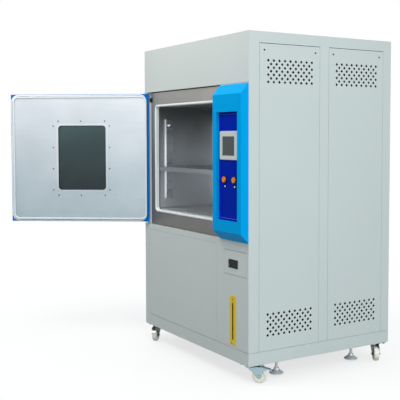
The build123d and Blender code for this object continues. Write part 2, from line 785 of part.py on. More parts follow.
# Electrical mounting plate with rails, breakers, contactors and a power supply
plate_x = foam_right
plate_low, plate_high = band_bottom + 68, fascia_bottom - 45
plate_front, plate_back = 80, foam_back - 56
electric = block(plate_x, plate_x + 2, plate_front, plate_back, plate_low, plate_high)
for z in (plate_low + 100, plate_low + 300, plate_low + 500):
    electric += block(plate_x + 2, plate_x + 9, plate_front + 30, plate_back - 30, z - 17, z + 17)
first_y = plate_front + 50
for index in range(10):
    y = first_y + 19 * index
    electric += block(plate_x + 9, plate_x + 75, y, y + 17.5, plate_low + 458, plate_low + 542)
for index in range(5):
    y = first_y + 62 * index
    electric += block(plate_x + 9, plate_x + 92, y, y + 46, plate_low + 260, plate_low + 340)
for index in range(24):
    y = first_y + 16 * index
    electric += block(plate_x + 9, plate_x + 52, y, y + 14, plate_low + 76, plate_low + 124)
electric += block(plate_x + 9, plate_x + 100, 420, 560, plate_low + 440, plate_low + 560)
nodes["electrical_panel"] = electric

# Control column: folded sheet with bevelled ends, a flanged recess and a keeper slot for the bolt
column_side = outline(
    (0, column_base_bottom), (column_front, column_face_bottom),
    (column_front, column_face_top), (0, column_base_top),
)
column = from_side(column_side, column_left, cabinet_width)
column -= from_side(shrunk(column_side, steel), column_left + steel, side_in)
column -= block(column_left + steel, side_in, -2, 1, column_base_bottom + 4, column_base_top - 4)
recess_x = (recess_left + recess_right) / 2
recess_z = (recess_bottom + recess_top) / 2
recess_width = recess_right - recess_left
recess_height = recess_top - recess_bottom
recess = block(recess_left, recess_right, column_front - 13, recess_plane, recess_bottom, recess_top)
column -= recess
wall = block(
    recess_left - steel, recess_right + steel, column_front, recess_plane,
    recess_bottom - steel, recess_top + steel,
)
column += wall - recess
column -= block(
    column_left - 1, column_left + 3, bolt_y0 - 1, bolt_y1 + 1, bolt_z0 - 1, bolt_z1 + 1
)
nodes["column_housing"] = column

# Recessed control panel, operator terminal and push buttons
body_left, body_right = hmi_left + 6.5, hmi_right - 6.6
body_bottom, body_top = hmi_bottom + 6, hmi_top - 6
inner_panel = block(
    recess_left - 6, recess_right + 6, recess_plane, recess_plane + steel, recess_bottom - 6, recess_top + 6
)
inner_panel -= block(body_left, body_right, recess_plane - 10, recess_plane + 10, body_bottom, body_top)
barrel_radius = 17
lamp_barrel = 6
for x in button_xs:
    inner_panel -= deep(x, button_z, -40, -20, barrel_radius)
for x in lamp_xs:
    inner_panel -= deep(x, lamp_z, -40, -20, lamp_barrel)
nodes["column_inner_panel"] = inner_panel

bezel_face = rounded(
    (hmi_left + hmi_right) / 2, (hmi_bottom + hmi_top) / 2, hmi_right - hmi_left, hmi_top - hmi_bottom, 5
)
bezel = from_front(bezel_face, hmi_front, recess_plane)
bezel = chamfer(bezel.edges().group_by(Axis.Y)[0], 2)
bezel += block(body_left, body_right, recess_plane, -4, body_bottom, body_top)
bezel -= block(screen_left, screen_right, hmi_front - 1, hmi_front + 4, screen_bottom, screen_top)
nodes["hmi_bezel"] = bezel
nodes["hmi_screen"] = block(
    screen_left, screen_right, hmi_front + 1.5, hmi_front + 4, screen_bottom, screen_top
)

rings = None
for x in button_xs:
    collar_ring = deep(x, button_z, -35, recess_plane, 19)
    collar_ring += deep(x, button_z, recess_plane, -6, barrel_radius)
    collar_ring -= deep(x, button_z, -40, -9, button_radius + free_gap)
    rings = collar_ring if rings is None else rings + collar_ring
for x in lamp_xs:
    lamp = deep(x, lamp_z, -33, recess_plane, 8) + deep(x, lamp_z, recess_plane, -12, lamp_barrel)
    lamp -= deep(x, lamp_z, -34, -31, 5.5)
    rings += lamp
nodes["button_rings"] = rings
for name, x in (("button_cap_left", button_xs[0]), ("button_cap_right", button_xs[1])):
    cap = deep(x, button_z, -42, -32, button_radius)
    cap = fillet(cap.edges().group_by(Axis.Y)[0], 2)
    nodes[name] = cap + deep(x, button_z, -32, -9 - button_travel - 1, 6)

# Level gauge: yellow cover plate and the sight tube that tees into the tank
plate = rounded(
    (gauge_left + gauge_right) / 2, (gauge_bottom + gauge_top) / 2,
    gauge_right - gauge_left, gauge_top - gauge_bottom, 4,
)
plate -= rounded(gauge_x, (gauge_bottom + 25 + gauge_top - 37) / 2, 13, gauge_top - gauge_bottom - 62, 3)
nodes["level_gauge_plate"] = from_front(plate, -2, 0)
tube = upright(gauge_x, 10, gauge_bottom + 14, gauge_top - 26, 6)
for z in (gauge_bottom + 24, gauge_top - 36):
    tube += rod((gauge_x, 10, z), (gauge_x, tank_front, z), 5)
nodes["level_gauge_tube"] = tube

# Water drawer: boxed front and an open tray behind it
drawer = block(drawer_left, drawer_right, 0, drawer_front_depth, drawer_bottom, drawer_top)
drawer -= block(
    drawer_left + steel, drawer_right - steel, steel, drawer_front_depth - steel,
    drawer_bottom + steel, drawer_top - steel,
)
drawer -= block(latch_left + 2, latch_right - 2, -1, 5, latch_bottom + 2, latch_top - 2)
tray = block(tray_left, tray_right, drawer_front_depth, tray_back, tray_bottom, tray_top)
tray -= block(
    tray_left + steel, tray_right - steel, drawer_front_depth, tray_back - steel,
    tray_bottom + steel, tray_top + 1,
)
nodes["water_drawer"] = drawer + tray

paddle_left, paddle_right = latch_left + 27, latch_right - 6
latch = block(latch_left, latch_right, -1.5, 0, latch_bottom, latch_top)
latch += block(latch_left + 2, latch_right - 2, 0, 10, latch_bottom + 2, latch_top - 2)
latch -= block(
    paddle_left - free_gap, paddle_right + free_gap, -2, 8.5, latch_bottom + 4.5, latch_top - 2.2
)
pin_y, pin_z, pin_radius = 3, latch_top - 8.6, 2.5
latch -= rod((paddle_left - 2.5, pin_y, pin_z), (paddle_right + 2.5, pin_y, pin_z), pin_radius + running_fit)
latch -= deep(lock_x, lock_z, -2, 8, 6 + running_fit)
nodes["latch_frame"] = latch

paddle = block(paddle_left, paddle_right, -1.2, 1.3, latch_bottom + 5, latch_top - 5.1)
paddle += rod((paddle_left - 2, pin_y, pin_z), (paddle_right + 2, pin_y, pin_z), pin_radius)
paddle += block(paddle_left, paddle_right, 1.3, 3, pin_z - 2, pin_z + 2)
nodes["latch_paddle"] = paddle
lock = deep(lock_x, lock_z, -3.5, 7.5, 6)
lock -= block(lock_x - 0.8, lock_x + 0.8, -4, -1, lock_z - 4, lock_z + 4)
nodes["lock_barrel"] = lock

# Door switch on the stainless front, near the top of the hinge side
switch_top = fascia_bottom - 35
switch = block(left_strip_edge - 8, left_strip_edge + 12, 11, band_recess, switch_top - 26, switch_top)
switch += block(left_strip_edge - 2, left_strip_edge + 6, 8.3, 11, switch_top - 19, switch_top - 7)
nodes["door_switch"] = switch

# Pivot brackets above and below the door with their pins
pivots = block(6, 50, pivot_y - 10, band_recess, band_bottom, band_bottom + 4)
pivots += upright(pivot_x, pivot_y, band_bottom + 4, door_bottom + 14, pivot_radius)
pivots += upright(pivot_x, pivot_y, band_bottom + 4, band_bottom + 8, 7)
pivots += block(6, 50, pivot_y - 10, band_recess, fascia_bottom - 4, fascia_bottom)
pivots += upright(pivot_x, pivot_y, door_top - 14, fascia_bottom - 4, pivot_radius)
nodes["door_pivots"] = pivots


def swung(shape):
    """Turn a closed door piece about its pivots to the open rest position."""
    there = Pos(pivot_x, pivot_y, 0) * Rot(0, 0, -door_rest_angle) * Pos(-pivot_x, -pivot_y, 0)
    return there * shape


# Door pan: bevelled on three sides, square on the free side, lip folded in at the back
door_plan = outline(
    (door_left, 0), (door_left, 3.5), (door_left + 2.5, door_rim), (door_right, door_rim),
    (door_right, door_front), (door_left + door_bevel, door_front),
)
door_side = outline(
    (door_rim, door_bottom), (0, door_bottom), (door_front, door_bottom + door_bevel),
    (door_front, door_top - door_bevel), (0, door_top), (door_rim, door_top),
)
door_body = from_above(door_plan, door_bottom, door_top) & from_side(door_side, door_left, door_right)
door_void = from_above(shrunk(door_plan, door_sheet), door_bottom + door_sheet, door_top - door_sheet)
door_void &= from_side(shrunk(door_side, door_sheet), door_left + door_sheet, door_right - door_sheet)
door_width = door_right - door_left
door_height = door_top - door_bottom
lip_plane = door_rim - door_sheet
lip_opening = from_front(
    rounded(door_centre_x, door_centre_z, door_width - 2 * door_lip, door_height - 2 * door_lip, 15),
    lip_plane, door_rim,
)
window_hole = rounded(
    window_x, window_z, window_width + 2 * window_wall, window_height + 2 * window_wall,
    window_radius + window_wall,
)
window_clear = rounded(window_x, window_z, window_width, window_height, window_radius)
window_tunnel = from_front(window_hole, door_front - 1, door_rim + 3)
webs = None
for z0, z1 in ((door_bottom + 9, door_bottom + 15), (door_top - 15, door_top - 9)):
    web = block(door_left, 45, -20, lip_plane, z0, z1) & door_void
    webs = web if webs is None else webs + web
shell = door_body - door_void - lip_opening - window_tunnel + webs
for z0, z1 in ((door_bottom - 1, door_bottom + 20), (door_top - 20, door_top + 1)):
    shell -= upright(pivot_x, pivot_y, z0, z1, pivot_radius + running_fit)
spindle_radius = 6
shell -= deep(handle_x, handle_z, door_front - 1, door_front + 3, spindle_radius + running_fit)
shell -= block(
    door_right - 5, door_right + 1, bolt_y0 - free_gap, bolt_y1 + free_gap,
    bolt_z0 - free_gap, bolt_z1 + free_gap,
)
nodes["door_shell"] = swung(shell)

core = door_void + lip_opening
core -= window_tunnel
core -= block(handle_x - 27, door_right, bolt_y0 - 1, bolt_y1 + 1, bolt_z0 - 2, bolt_z1 + 2)
core -= deep(handle_x, handle_z, door_front, bolt_y0, spindle_radius + 2)
core -= block(door_left, 48, -40, lip_plane, door_bottom, door_bottom + 18)
core -= block(door_left, 48, -40, lip_plane, door_top - 18, door_top)
nodes["door_insulation"] = swung(core)

panel_w = door_width - 2 * (seal_inset + seal_width)
panel_h = door_height - 2 * (seal_inset + seal_width)
panel_face = rounded(door_centre_x, door_centre_z, panel_w, panel_h, seal_radius - seal_width)
nodes["door_inner_panel"] = swung(from_front(panel_face - window_hole, door_rim, door_rim + door_sheet))

seal_out = rounded(
    door_centre_x, door_centre_z, door_width - 2 * seal_inset, door_height - 2 * seal_inset, seal_radius
)
door_seal = from_front(seal_out - panel_face, door_rim, seal_back)
door_seal = fillet(door_seal.edges().group_by(Axis.Y)[-1], 3.5)
nodes["door_gasket"] = swung(door_seal)

# Window frames meet halfway through the door, each a tunnel with a rim
split_y = -20
rim_inside, rim_outside = 12, 18
rim_back = ring(
    window_x, window_z, window_width + 2 * rim_inside, window_height + 2 * rim_inside,
    window_radius + rim_inside, rim_inside, door_rim + door_sheet, door_rim + 4,
)
rim_front = ring(
    window_x, window_z, window_width + 2 * rim_outside, window_height + 2 * rim_outside,
    window_radius + rim_outside, rim_outside, door_front - 2.5, door_front,
)
frames = from_front(window_hole - window_clear, split_y, door_rim + door_sheet) + rim_back
frames += from_front(window_hole - window_clear, door_front, split_y) + rim_front
nodes["window_frames"] = swung(frames)
panes = from_front(window_clear, 1, 5) + from_front(window_clear, -43, -39)
nodes["window_glass"] = swung(panes)

# Lever handle on the outside, and the bolt it drives out of the free edge
grip = outline(
    (handle_x + 16, handle_z - 14), (handle_x + 16, handle_z + 14), (handle_x - 90, handle_z + 11),
    (handle_x - 120, handle_z + 8), (handle_x - 120, handle_z - 8), (handle_x - 90, handle_z - 11),
)
handle = from_front(grip, -82, -68)
handle = fillet(handle.edges().filter_by(Axis.Y), 6)
handle += deep(handle_x, handle_z, -70, door_front - free_gap, 17)
handle += deep(handle_x, handle_z, door_front - 1, bolt_y0 - free_gap, spindle_radius)
nodes["door_handle"] = swung(handle)
bolt = block(handle_x - 10, door_right - 0.5, bolt_y0, bolt_y1, bolt_z0, bolt_z1)
bolt = chamfer(bolt.edges().filter_by(Axis.Z).sort_by(Axis.X)[-2:], 3)
nodes["latch_bolt"] = swung(bolt)


def caster_fork(braked):
    """Swivel fork, trailing along +x from the swivel axis."""
    top = upright(0, 0, -19.7, -4 - 10 - free_gap, 30) + block(0, 52, -18.5, 18.5, -19.7, -14.3)
    nose = (70, -16) if braked else (56, -16)
    toe = (70, -31) if braked else (60, -34)
    cheek = outline((-12, -14.3), (52, -14.3), nose, toe, (58, -40), (57, -62), (33, -62), (-12, -26))
    leg = from_front(cheek, 15.5, 18.5) + deep(caster_trail, -axle_drop, 15.5, 18.5, 12)
    fork = top + leg + mirror(leg, about=Plane.XZ)
    fork -= upright(0, 0, -30, 0, shaft_radius + running_fit)
    fork -= block(-20, 80, -15.5, 15.5, -90, -19.7)
    fork += deep(caster_trail, -axle_drop, -18.5, 18.5, 4)
    for side_y in (-1, 1):
        fork += deep(caster_trail, -axle_drop, side_y * 18.5, side_y * 21.5, 7)
    if braked:
        fork -= deep(64, -24, -30, 30, 3 + running_fit)
    return fork


def caster_wheel():
    """Wheel with a dished web, about its axle."""
    half = wheel_width / 2
    section = outline(
        (4 + running_fit, -half), (14, -half), (16, -6), (25, -6), (27, -half), (wheel_radius - 3, -half),
        (wheel_radius, -half + 5), (wheel_radius, half - 5), (wheel_radius - 3, half), (27, half),
        (25, 6), (16, 6), (14, half), (4 + running_fit, half),
    )
    turned = revolve(section, axis=Axis.Y)
    return Pos(caster_trail, 0, -axle_drop) * turned


def brake_pedal():
    """Foot pedal on its own pin above the wheel."""
    shape = outline(
        (58, -20), (66, -19), (98, -25), (108, -34), (105, -37), (94, -30), (68, -27.4), (60, -26)
    )
    pedal = from_front(shape, -14, 14)
    return pedal + deep(64, -24, -18.4, 18.4, 3)


casters = {
    "front_left": (swivel_inset, swivel_inset, front_left_angle, True),
    "front_right": (cabinet_width - swivel_inset, swivel_inset, front_right_angle, True),
    "rear_left": (swivel_inset, cabinet_depth - swivel_inset, rear_left_angle, False),
    "rear_right": (cabinet_width - swivel_inset, cabinet_depth - swivel_inset, rear_right_angle, False),
}
plates = None
for name, (x, y, angle, braked) in casters.items():
    place = Pos(x, y, 0) * Rot(0, 0, angle)
    nodes["caster_fork_" + name] = place * caster_fork(braked)
    nodes["caster_wheel_" + name] = place * caster_wheel()
    if braked:
        nodes["brake_pedal_" + name] = place * brake_pedal()
    plate_part = block(x - 50, x + 50, y - 45, y + 45, -4, 0)
    plate_part += upright(x, y, -14, -4, 30) + upright(x, y, -20, -14, shaft_radius)
    plate_part += upright(x, y, -24, -20, 10)
    plates = plate_part if plates is None else plates + plate_part
nodes["caster_plates"] = plates

# Levelling feet: threaded stem, cone and pad, raised clear of the floor
feet = None
foot_bottom = foot_raise - caster_height
for x in foot_xs:
    for y in foot_ys:
        foot_section = outline(
            (0, foot_bottom), (foot_radius, foot_bottom), (foot_radius, foot_bottom + 5),
            (16, foot_bottom + 20), (13, foot_bottom + 30), (foot_stem, foot_bottom + 30),
            (foot_stem, 54), (0, 54),
        )
        foot = Pos(x, y, 0) * revolve(Plane.XZ * foot_section, axis=Axis.Z)
        feet = foot if feet is None else feet + foot
nodes["levelling_feet"] = feet

# Put the origin on the floor under the middle of the assembly as it rests, door open
extent = Compound(children=[Compound(shape.solids()) for shape in nodes.values()]).bounding_box()
origin_x = (extent.min.X + extent.max.X) / 2
origin_y = (extent.min.Y + extent.max.Y) / 2
for name, shape in nodes.items():
    export_step(Pos(-origin_x, -origin_y, caster_height) * shape, "parts/" + name + ".step")
print("origin", round(origin_x, 3), round(origin_y, 3), "extent", extent, "nodes", len(nodes))
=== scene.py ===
# %% [markdown]
# A test chamber is a tall sheet-metal cabinet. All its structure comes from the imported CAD
# model, so this lesson starts by loading that model as a fixed frame. Everything made later
# is placed by the frame's own coordinates and rides on one of its bodies.

# %% Load the frame
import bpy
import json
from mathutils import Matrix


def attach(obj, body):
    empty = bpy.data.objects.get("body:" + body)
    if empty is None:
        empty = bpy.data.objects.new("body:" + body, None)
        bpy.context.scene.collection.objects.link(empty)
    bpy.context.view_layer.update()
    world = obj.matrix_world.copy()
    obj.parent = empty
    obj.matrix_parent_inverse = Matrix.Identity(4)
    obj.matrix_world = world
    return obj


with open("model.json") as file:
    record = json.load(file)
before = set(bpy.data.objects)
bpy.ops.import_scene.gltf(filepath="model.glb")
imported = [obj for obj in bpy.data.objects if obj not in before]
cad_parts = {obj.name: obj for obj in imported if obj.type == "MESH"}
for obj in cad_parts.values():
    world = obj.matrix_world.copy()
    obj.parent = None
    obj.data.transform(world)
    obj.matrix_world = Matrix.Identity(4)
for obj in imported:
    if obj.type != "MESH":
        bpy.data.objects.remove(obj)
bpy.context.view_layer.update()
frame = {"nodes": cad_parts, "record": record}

import json
import math
import bmesh
import bpy
from mathutils import Matrix, Vector

nodes = frame["nodes"]

# %% [markdown]
# The cabinet was drawn in millimetres from its own front left corner, with heights from the
# underside of the body. Blender works in metres from the floor under the middle of the
# whole object, so one small function turns a drawing position into a Blender one. Small
# pieces are modelled facing up, and four rotations turn them to the side they sit on. What
# sits on the door is placed on the closed door and turned with it about its pivots.

# %% Drawing position to scene position
MIDDLE_X, MIDDLE_Y, CASTERS = 324.427, 129.837, 100.0
BODY_WIDTH, BODY_DEPTH = 1140, 965
DOOR_ANGLE = -125


def at(x, y, z):
    """Drawing millimetres to scene metres."""
    return Vector(((x - MIDDLE_X) / 1000, (y - MIDDLE_Y) / 1000, (z + CASTERS) / 1000))


def rotation(degrees, axis):
    return Matrix.Rotation(math.radians(degrees), 4, axis)


FACE_FRONT, FACE_BACK = rotation(90, "X"), rotation(-90, "X")
FACE_RIGHT, FACE_DOWN = rotation(90, "Y"), rotation(180, "X")
PIVOT = at(19, -2, 0)
DOOR_TURN = Matrix.Translation(PIVOT) @ rotation(DOOR_ANGLE, "Z") @ Matrix.Translation(-PIVOT)
print("cabinet corner at", [round(v, 3) for v in at(0, 0, 0)])

# %% [markdown]
# Operators act on everything that is selected, so three small helpers keep the selection
# honest: one clears it, one picks a single object, and one picks faces in edit mode by
# where they are and which way they face. The others link new objects, join pieces, finish
# a piece under its name, and put copies of a small piece at all its places.

# %% Selection helpers


def clear_selection():
    bpy.ops.object.select_all(action="DESELECT")


def choose(piece):
    clear_selection()
    piece.select_set(True)
    bpy.context.view_layer.objects.active = piece


def pick_faces(piece, wanted):
    """Selects the faces of the piece in edit mode for which wanted(centre, normal) is true."""
    bpy.ops.mesh.select_mode(type="FACE")
    mesh = bmesh.from_edit_mesh(piece.data)
    for face in mesh.faces:
        face.select_set(bool(wanted(face.calc_center_median(), face.normal)))
    mesh.select_flush(True)
    mesh.select_flush(False)
    bmesh.update_edit_mesh(piece.data)


def add_object(name, data):
    made = bpy.data.objects.new(name, data)
    bpy.context.collection.objects.link(made)
    return made


def join(pieces):
    """Joins the pieces into the first of them."""
    clear_selection()
    for piece in pieces:
        piece.select_set(True)
    bpy.context.view_layer.objects.active = pieces[0]
    if len(pieces) > 1:
        bpy.ops.object.join()
    return bpy.context.object


def settle(piece, name, smooth=35):
    """Applies the place, smooths by angle and names the finished piece."""
    choose(piece)
    bpy.ops.object.transform_apply(location=True, rotation=True, scale=True)
    bpy.ops.object.shade_smooth_by_angle(angle=math.radians(smooth))
    piece.name = name
    piece.data.name = name
    return piece


def copies(pattern, places, name, turn=None):
    """One copy of the pattern with its own mesh at every place, joined as one piece."""
    made = []
    for place in places:
        twin = pattern.copy()
        twin.data = pattern.data.copy()
        bpy.context.collection.objects.link(twin)
        spot = place if isinstance(place, Matrix) else Matrix.Translation(place)
        twin.data.transform(spot @ (turn or Matrix.Identity(4)))
        made.append(twin)
    whole = join(made)
    whole.name = name
    whole.data.name = name
    bpy.data.objects.remove(pattern)
    print(name, "x", len(made))
    return whole


clear_selection()

# %% [markdown]
# Three shader groups carry the fine detail. Paint on sheet metal has a faint orange peel
# and a very slow change of tone. Brushed steel has long thin scratches along one direction.
# Moulded plastic and rubber have a fine speckle, and the roughness of brushed steel changes in
# broad soft patches. Each group is made once and placed in every material that needs it, with its
# own values.

# %% Shader groups


def set_values(item, values):
    """Sets plain values on a node's inputs, which are given by name or by number."""
    for label, value in values.items():
        item.inputs[label].default_value = value


def add_node(tree, kind, operation=None, values=None):
    """Adds a shader node with its operation and the plain values of its inputs."""
    item = tree.nodes.new("ShaderNode" + kind)
    if operation:
        item.operation = operation
    set_values(item, values or {})
    return item


def new_group(name, inputs, outputs):
    group = bpy.data.node_groups.new(name, "ShaderNodeTree")
    for label, kind, value in inputs:
        socket = group.interface.new_socket(name=label, in_out="INPUT", socket_type=kind)
        socket.default_value = value
    for label, kind in outputs:
        group.interface.new_socket(name=label, in_out="OUTPUT", socket_type=kind)
    enter = group.nodes.new("NodeGroupInput")
    leave = group.nodes.new("NodeGroupOutput")
    return group, enter, leave


def vary_tone(group, enter, pattern, amount):
    """The group's colour times 1 plus the pattern, less a half, times the amount input."""
    centre = add_node(group, "Math", "SUBTRACT", {1: 0.5})
    shade = add_node(group, "Math", "MULTIPLY_ADD", {2: 1})
    tint = add_node(group, "VectorMath", "SCALE")
    link = group.links.new
    link(pattern, centre.inputs[0])
    link(centre.outputs[0], shade.inputs[0])
    link(enter.outputs[amount], shade.inputs[1])
    link(enter.outputs["Colour"], tint.inputs[0])
    link(shade.outputs[0], tint.inputs["Scale"])
    return tint.outputs[0]


def orange_peel_group():
    group, enter, leave = new_group(
        "orange_peel",
        [("Colour", "NodeSocketColor", (0.5, 0.5, 0.5, 1)), ("Tone", "NodeSocketFloat", 0.03)],
        [("Colour", "NodeSocketColor"), ("Height", "NodeSocketFloat")],
    )
    coords = add_node(group, "TexCoord")
    peel = add_node(group, "TexNoise", values={"Scale": 420, "Detail": 1})
    slow = add_node(group, "TexNoise", values={"Scale": 2.2, "Detail": 2})
    link = group.links.new
    link(coords.outputs["Object"], peel.inputs["Vector"])
    link(coords.outputs["Object"], slow.inputs["Vector"])
    link(vary_tone(group, enter, slow.outputs["Fac"], "Tone"), leave.inputs["Colour"])
    link(peel.outputs["Fac"], leave.inputs["Height"])
    return group


def brushed_group():
    group, enter, leave = new_group(
        "brushed_grain",
        [
            ("Colour", "NodeSocketColor", (0.6, 0.6, 0.6, 1)),
            ("Stretch", "NodeSocketVector", (12, 12, 900)),
            ("Depth", "NodeSocketFloat", 0.12),
            ("Roughness", "NodeSocketFloat", 0.35),
        ],
        [
            ("Colour", "NodeSocketColor"),
            ("Roughness", "NodeSocketFloat"),
            ("Height", "NodeSocketFloat"),
        ],
    )
    spread = 0.25
    coords = add_node(group, "TexCoord")
    stretch = add_node(group, "VectorMath", "MULTIPLY")
    grain = add_node(group, "TexNoise", values={"Scale": 1, "Detail": 3})
    cloud = add_node(group, "TexNoise", values={"Scale": 3.5, "Detail": 3})
    cloudy = add_node(group, "Math", "MULTIPLY_ADD", {1: spread})
    centred = add_node(group, "Math", "ADD", {1: -spread / 2})
    link = group.links.new
    link(coords.outputs["Object"], stretch.inputs[0])
    link(enter.outputs["Stretch"], stretch.inputs[1])
    link(stretch.outputs[0], grain.inputs["Vector"])
    link(coords.outputs["Object"], cloud.inputs["Vector"])
    link(cloud.outputs["Fac"], cloudy.inputs[0])
    link(enter.outputs["Roughness"], cloudy.inputs[2])
    link(cloudy.outputs[0], centred.inputs[0])
    link(vary_tone(group, enter, grain.outputs["Fac"], "Depth"), leave.inputs["Colour"])
    link(centred.outputs[0], leave.inputs["Roughness"])
    link(grain.outputs["Fac"], leave.inputs["Height"])
    return group


def moulded_group():
    group, enter, leave = new_group(
        "moulded_speckle",
        [
            ("Colour", "NodeSocketColor", (0.5, 0.5, 0.5, 1)),
            ("Scale", "NodeSocketFloat", 900.0),
            ("Tone", "NodeSocketFloat", 0.06),
        ],
        [("Colour", "NodeSocketColor"), ("Height", "NodeSocketFloat")],
    )
    coords = add_node(group, "TexCoord")
    speckle = add_node(group, "TexNoise", values={"Detail": 2})
    link = group.links.new
    link(coords.outputs["Object"], speckle.inputs["Vector"])
    link(enter.outputs["Scale"], speckle.inputs["Scale"])
    link(vary_tone(group, enter, speckle.outputs["Fac"], "Tone"), leave.inputs["Colour"])
    link(speckle.outputs["Fac"], leave.inputs["Height"])
    return group


PEEL, BRUSHED, MOULDED = orange_peel_group(), brushed_group(), moulded_group()
print("shader groups:", [group.name for group in bpy.data.node_groups])

# %% [markdown]
# Each finish is a Principled shader with one group in front of it; only glass has none.
# Colours are written as they look on screen and turned to linear light once, so they can be
# read off a paint card. A few finishes go from one colour to another as painted shade: with
# height, or on the cut edges and the back behind a surface.

# %% Finishes
MIX_LOW, MIX_HIGH, MIX_RESULT = 6, 7, 2  # the colour sockets of a Mix node


def linear(red, green, blue):
    """A colour written as seen, 0 to 255, to the linear values a shader needs."""
    def one(value):
        value /= 255
        return value / 12.92 if value <= 0.04045 else ((value + 0.055) / 1.055) ** 2.4
    return (one(red), one(green), one(blue), 1)


def start(name):
    material = bpy.data.materials.new(name)
    material.use_nodes = True
    return material, material.node_tree.nodes["Principled BSDF"], material.node_tree


def add_bump(tree, shader, height, strength, distance):
    bump = tree.nodes.new("ShaderNodeBump")
    bump.inputs["Strength"].default_value = strength
    bump.inputs["Distance"].default_value = distance
    tree.links.new(height, bump.inputs["Height"])
    tree.links.new(bump.outputs["Normal"], shader.inputs["Normal"])


def place_group(tree, shader, group, values):
    """Puts a shader group before the shader and leads its colour in."""
    item = tree.nodes.new("ShaderNodeGroup")
    item.node_tree = group
    set_values(item, values)
    tree.links.new(item.outputs["Colour"], shader.inputs["Base Color"])
    return item


def into_group(material, colour):
    """Leads a colour output into the material's shader group."""
    group = next(item for item in material.node_tree.nodes if item.type == "GROUP")
    material.node_tree.links.new(colour, group.inputs["Colour"])
    return material


def two_tones(tree, low, high, share):
    """The low colour where the share output is 0 and the high one where it is 1."""
    tone = add_node(tree, "Mix")
    tone.data_type = "RGBA"
    set_values(tone, {MIX_LOW: linear(*low), MIX_HIGH: linear(*high)})
    tree.links.new(share, tone.inputs[0])
    return tone.outputs[MIX_RESULT]


def height_shade(tree, low, high, bottom, top, drift, scale, detail):
    """Painted shade that goes from low to high between two heights in metres, with a cloudy drift.
    """
    place = add_node(tree, "TexCoord")
    height = add_node(tree, "SeparateXYZ")
    cloud = add_node(tree, "TexNoise", values={"Scale": scale, "Detail": detail})
    shift = add_node(tree, "Math", "MULTIPLY_ADD", {1: drift})
    ends = {"From Min": bottom + drift / 2, "From Max": top + drift / 2}
    span = add_node(tree, "MapRange", values=ends)
    link = tree.links.new
    link(place.outputs["Object"], height.inputs[0])
    link(place.outputs["Object"], cloud.inputs["Vector"])
    link(cloud.outputs["Fac"], shift.inputs[0])
    link(height.outputs["Z"], shift.inputs[2])
    link(shift.outputs[0], span.inputs["Value"])
    return two_tones(tree, low, high, span.outputs["Result"])


def painted(name, colour, roughness=0.42, tone=0.04, coat=0.0, shine=0.5):
    material, shader, tree = start(name)
    group = place_group(tree, shader, PEEL, {"Colour": linear(*colour), "Tone": tone})
    set_values(shader, {
        "Roughness": roughness, "Coat Weight": coat, "Coat Roughness": 0.12,
        "Specular IOR Level": shine,
    })
    add_bump(tree, shader, group.outputs["Height"], strength=0.12, distance=0.0003)
    return material


def brushed(name, colour, roughness, stretch, depth=0.12, bump=0.1):
    material, shader, tree = start(name)
    group = place_group(tree, shader, BRUSHED, {
        "Colour": linear(*colour), "Stretch": stretch, "Depth": depth, "Roughness": roughness,
    })
    tree.links.new(group.outputs["Roughness"], shader.inputs["Roughness"])
    shader.inputs["Metallic"].default_value = 1
    add_bump(tree, shader, group.outputs["Height"], bump, distance=0.0002)
    return material


def height_shaded(name, low, high, bottom, top, roughness=0.45, stretch=(4, 4, 60), depth=0.08):
    """Brushed steel with painted shade from low to high between two heights, in cloudy patches."""
    material = brushed(name, high, roughness, stretch, depth, bump=0.06)
    drift = (top - bottom) * 0.5
    painted_shade = height_shade(material.node_tree, low, high, bottom, top, drift, scale=4.5, detail=4)
    return into_group(material, painted_shade)


def moulded(
    name, colour, roughness, scale, tone=0.06, bump=0.15, metallic=0.0, coat=0.0, shine=0.5
):
    material, shader, tree = start(name)
    values = {"Colour": linear(*colour), "Scale": scale, "Tone": tone}
    group = place_group(tree, shader, MOULDED, values)
    set_values(shader, {
        "Roughness": roughness, "Metallic": metallic, "Coat Weight": coat,
        "Specular IOR Level": shine,
    })
    add_bump(tree, shader, group.outputs["Height"], bump, distance=0.0002)
    return material


def clear_glass(name, colour, roughness, transmission):
    material, shader, tree = start(name)
    set_values(shader, {
        "Base Color": linear(*colour), "Roughness": roughness,
        "Transmission Weight": transmission, "IOR": 1.45,
    })
    return material


def height_shaded_glass(name, low, high, bottom, top):
    """Dark glass, lighter towards its top as painted light, with faint cloudy streaks."""
    material = clear_glass(name, high, 0.05, 0.92)
    tree = material.node_tree
    tint = height_shade(tree, low, high, bottom, top, drift=0.3, scale=7, detail=2)
    tree.links.new(tint, tree.nodes["Principled BSDF"].inputs["Base Color"])
    return material


def shaded_behind(name, outer, inner, surface_x):
    """Paint that is outer on the surface and inner behind it, as painted shade: the cut edges and
    the back.
    """
    material = painted(name, outer, tone=0.05)
    tree = material.node_tree
    place = add_node(tree, "TexCoord")
    apart = add_node(tree, "SeparateXYZ")
    outside = add_node(tree, "Math", "GREATER_THAN", {1: surface_x})
    tree.links.new(place.outputs["Object"], apart.inputs[0])
    tree.links.new(apart.outputs["X"], outside.inputs[0])
    return into_group(material, two_tones(tree, inner, outer, outside.outputs[0]))


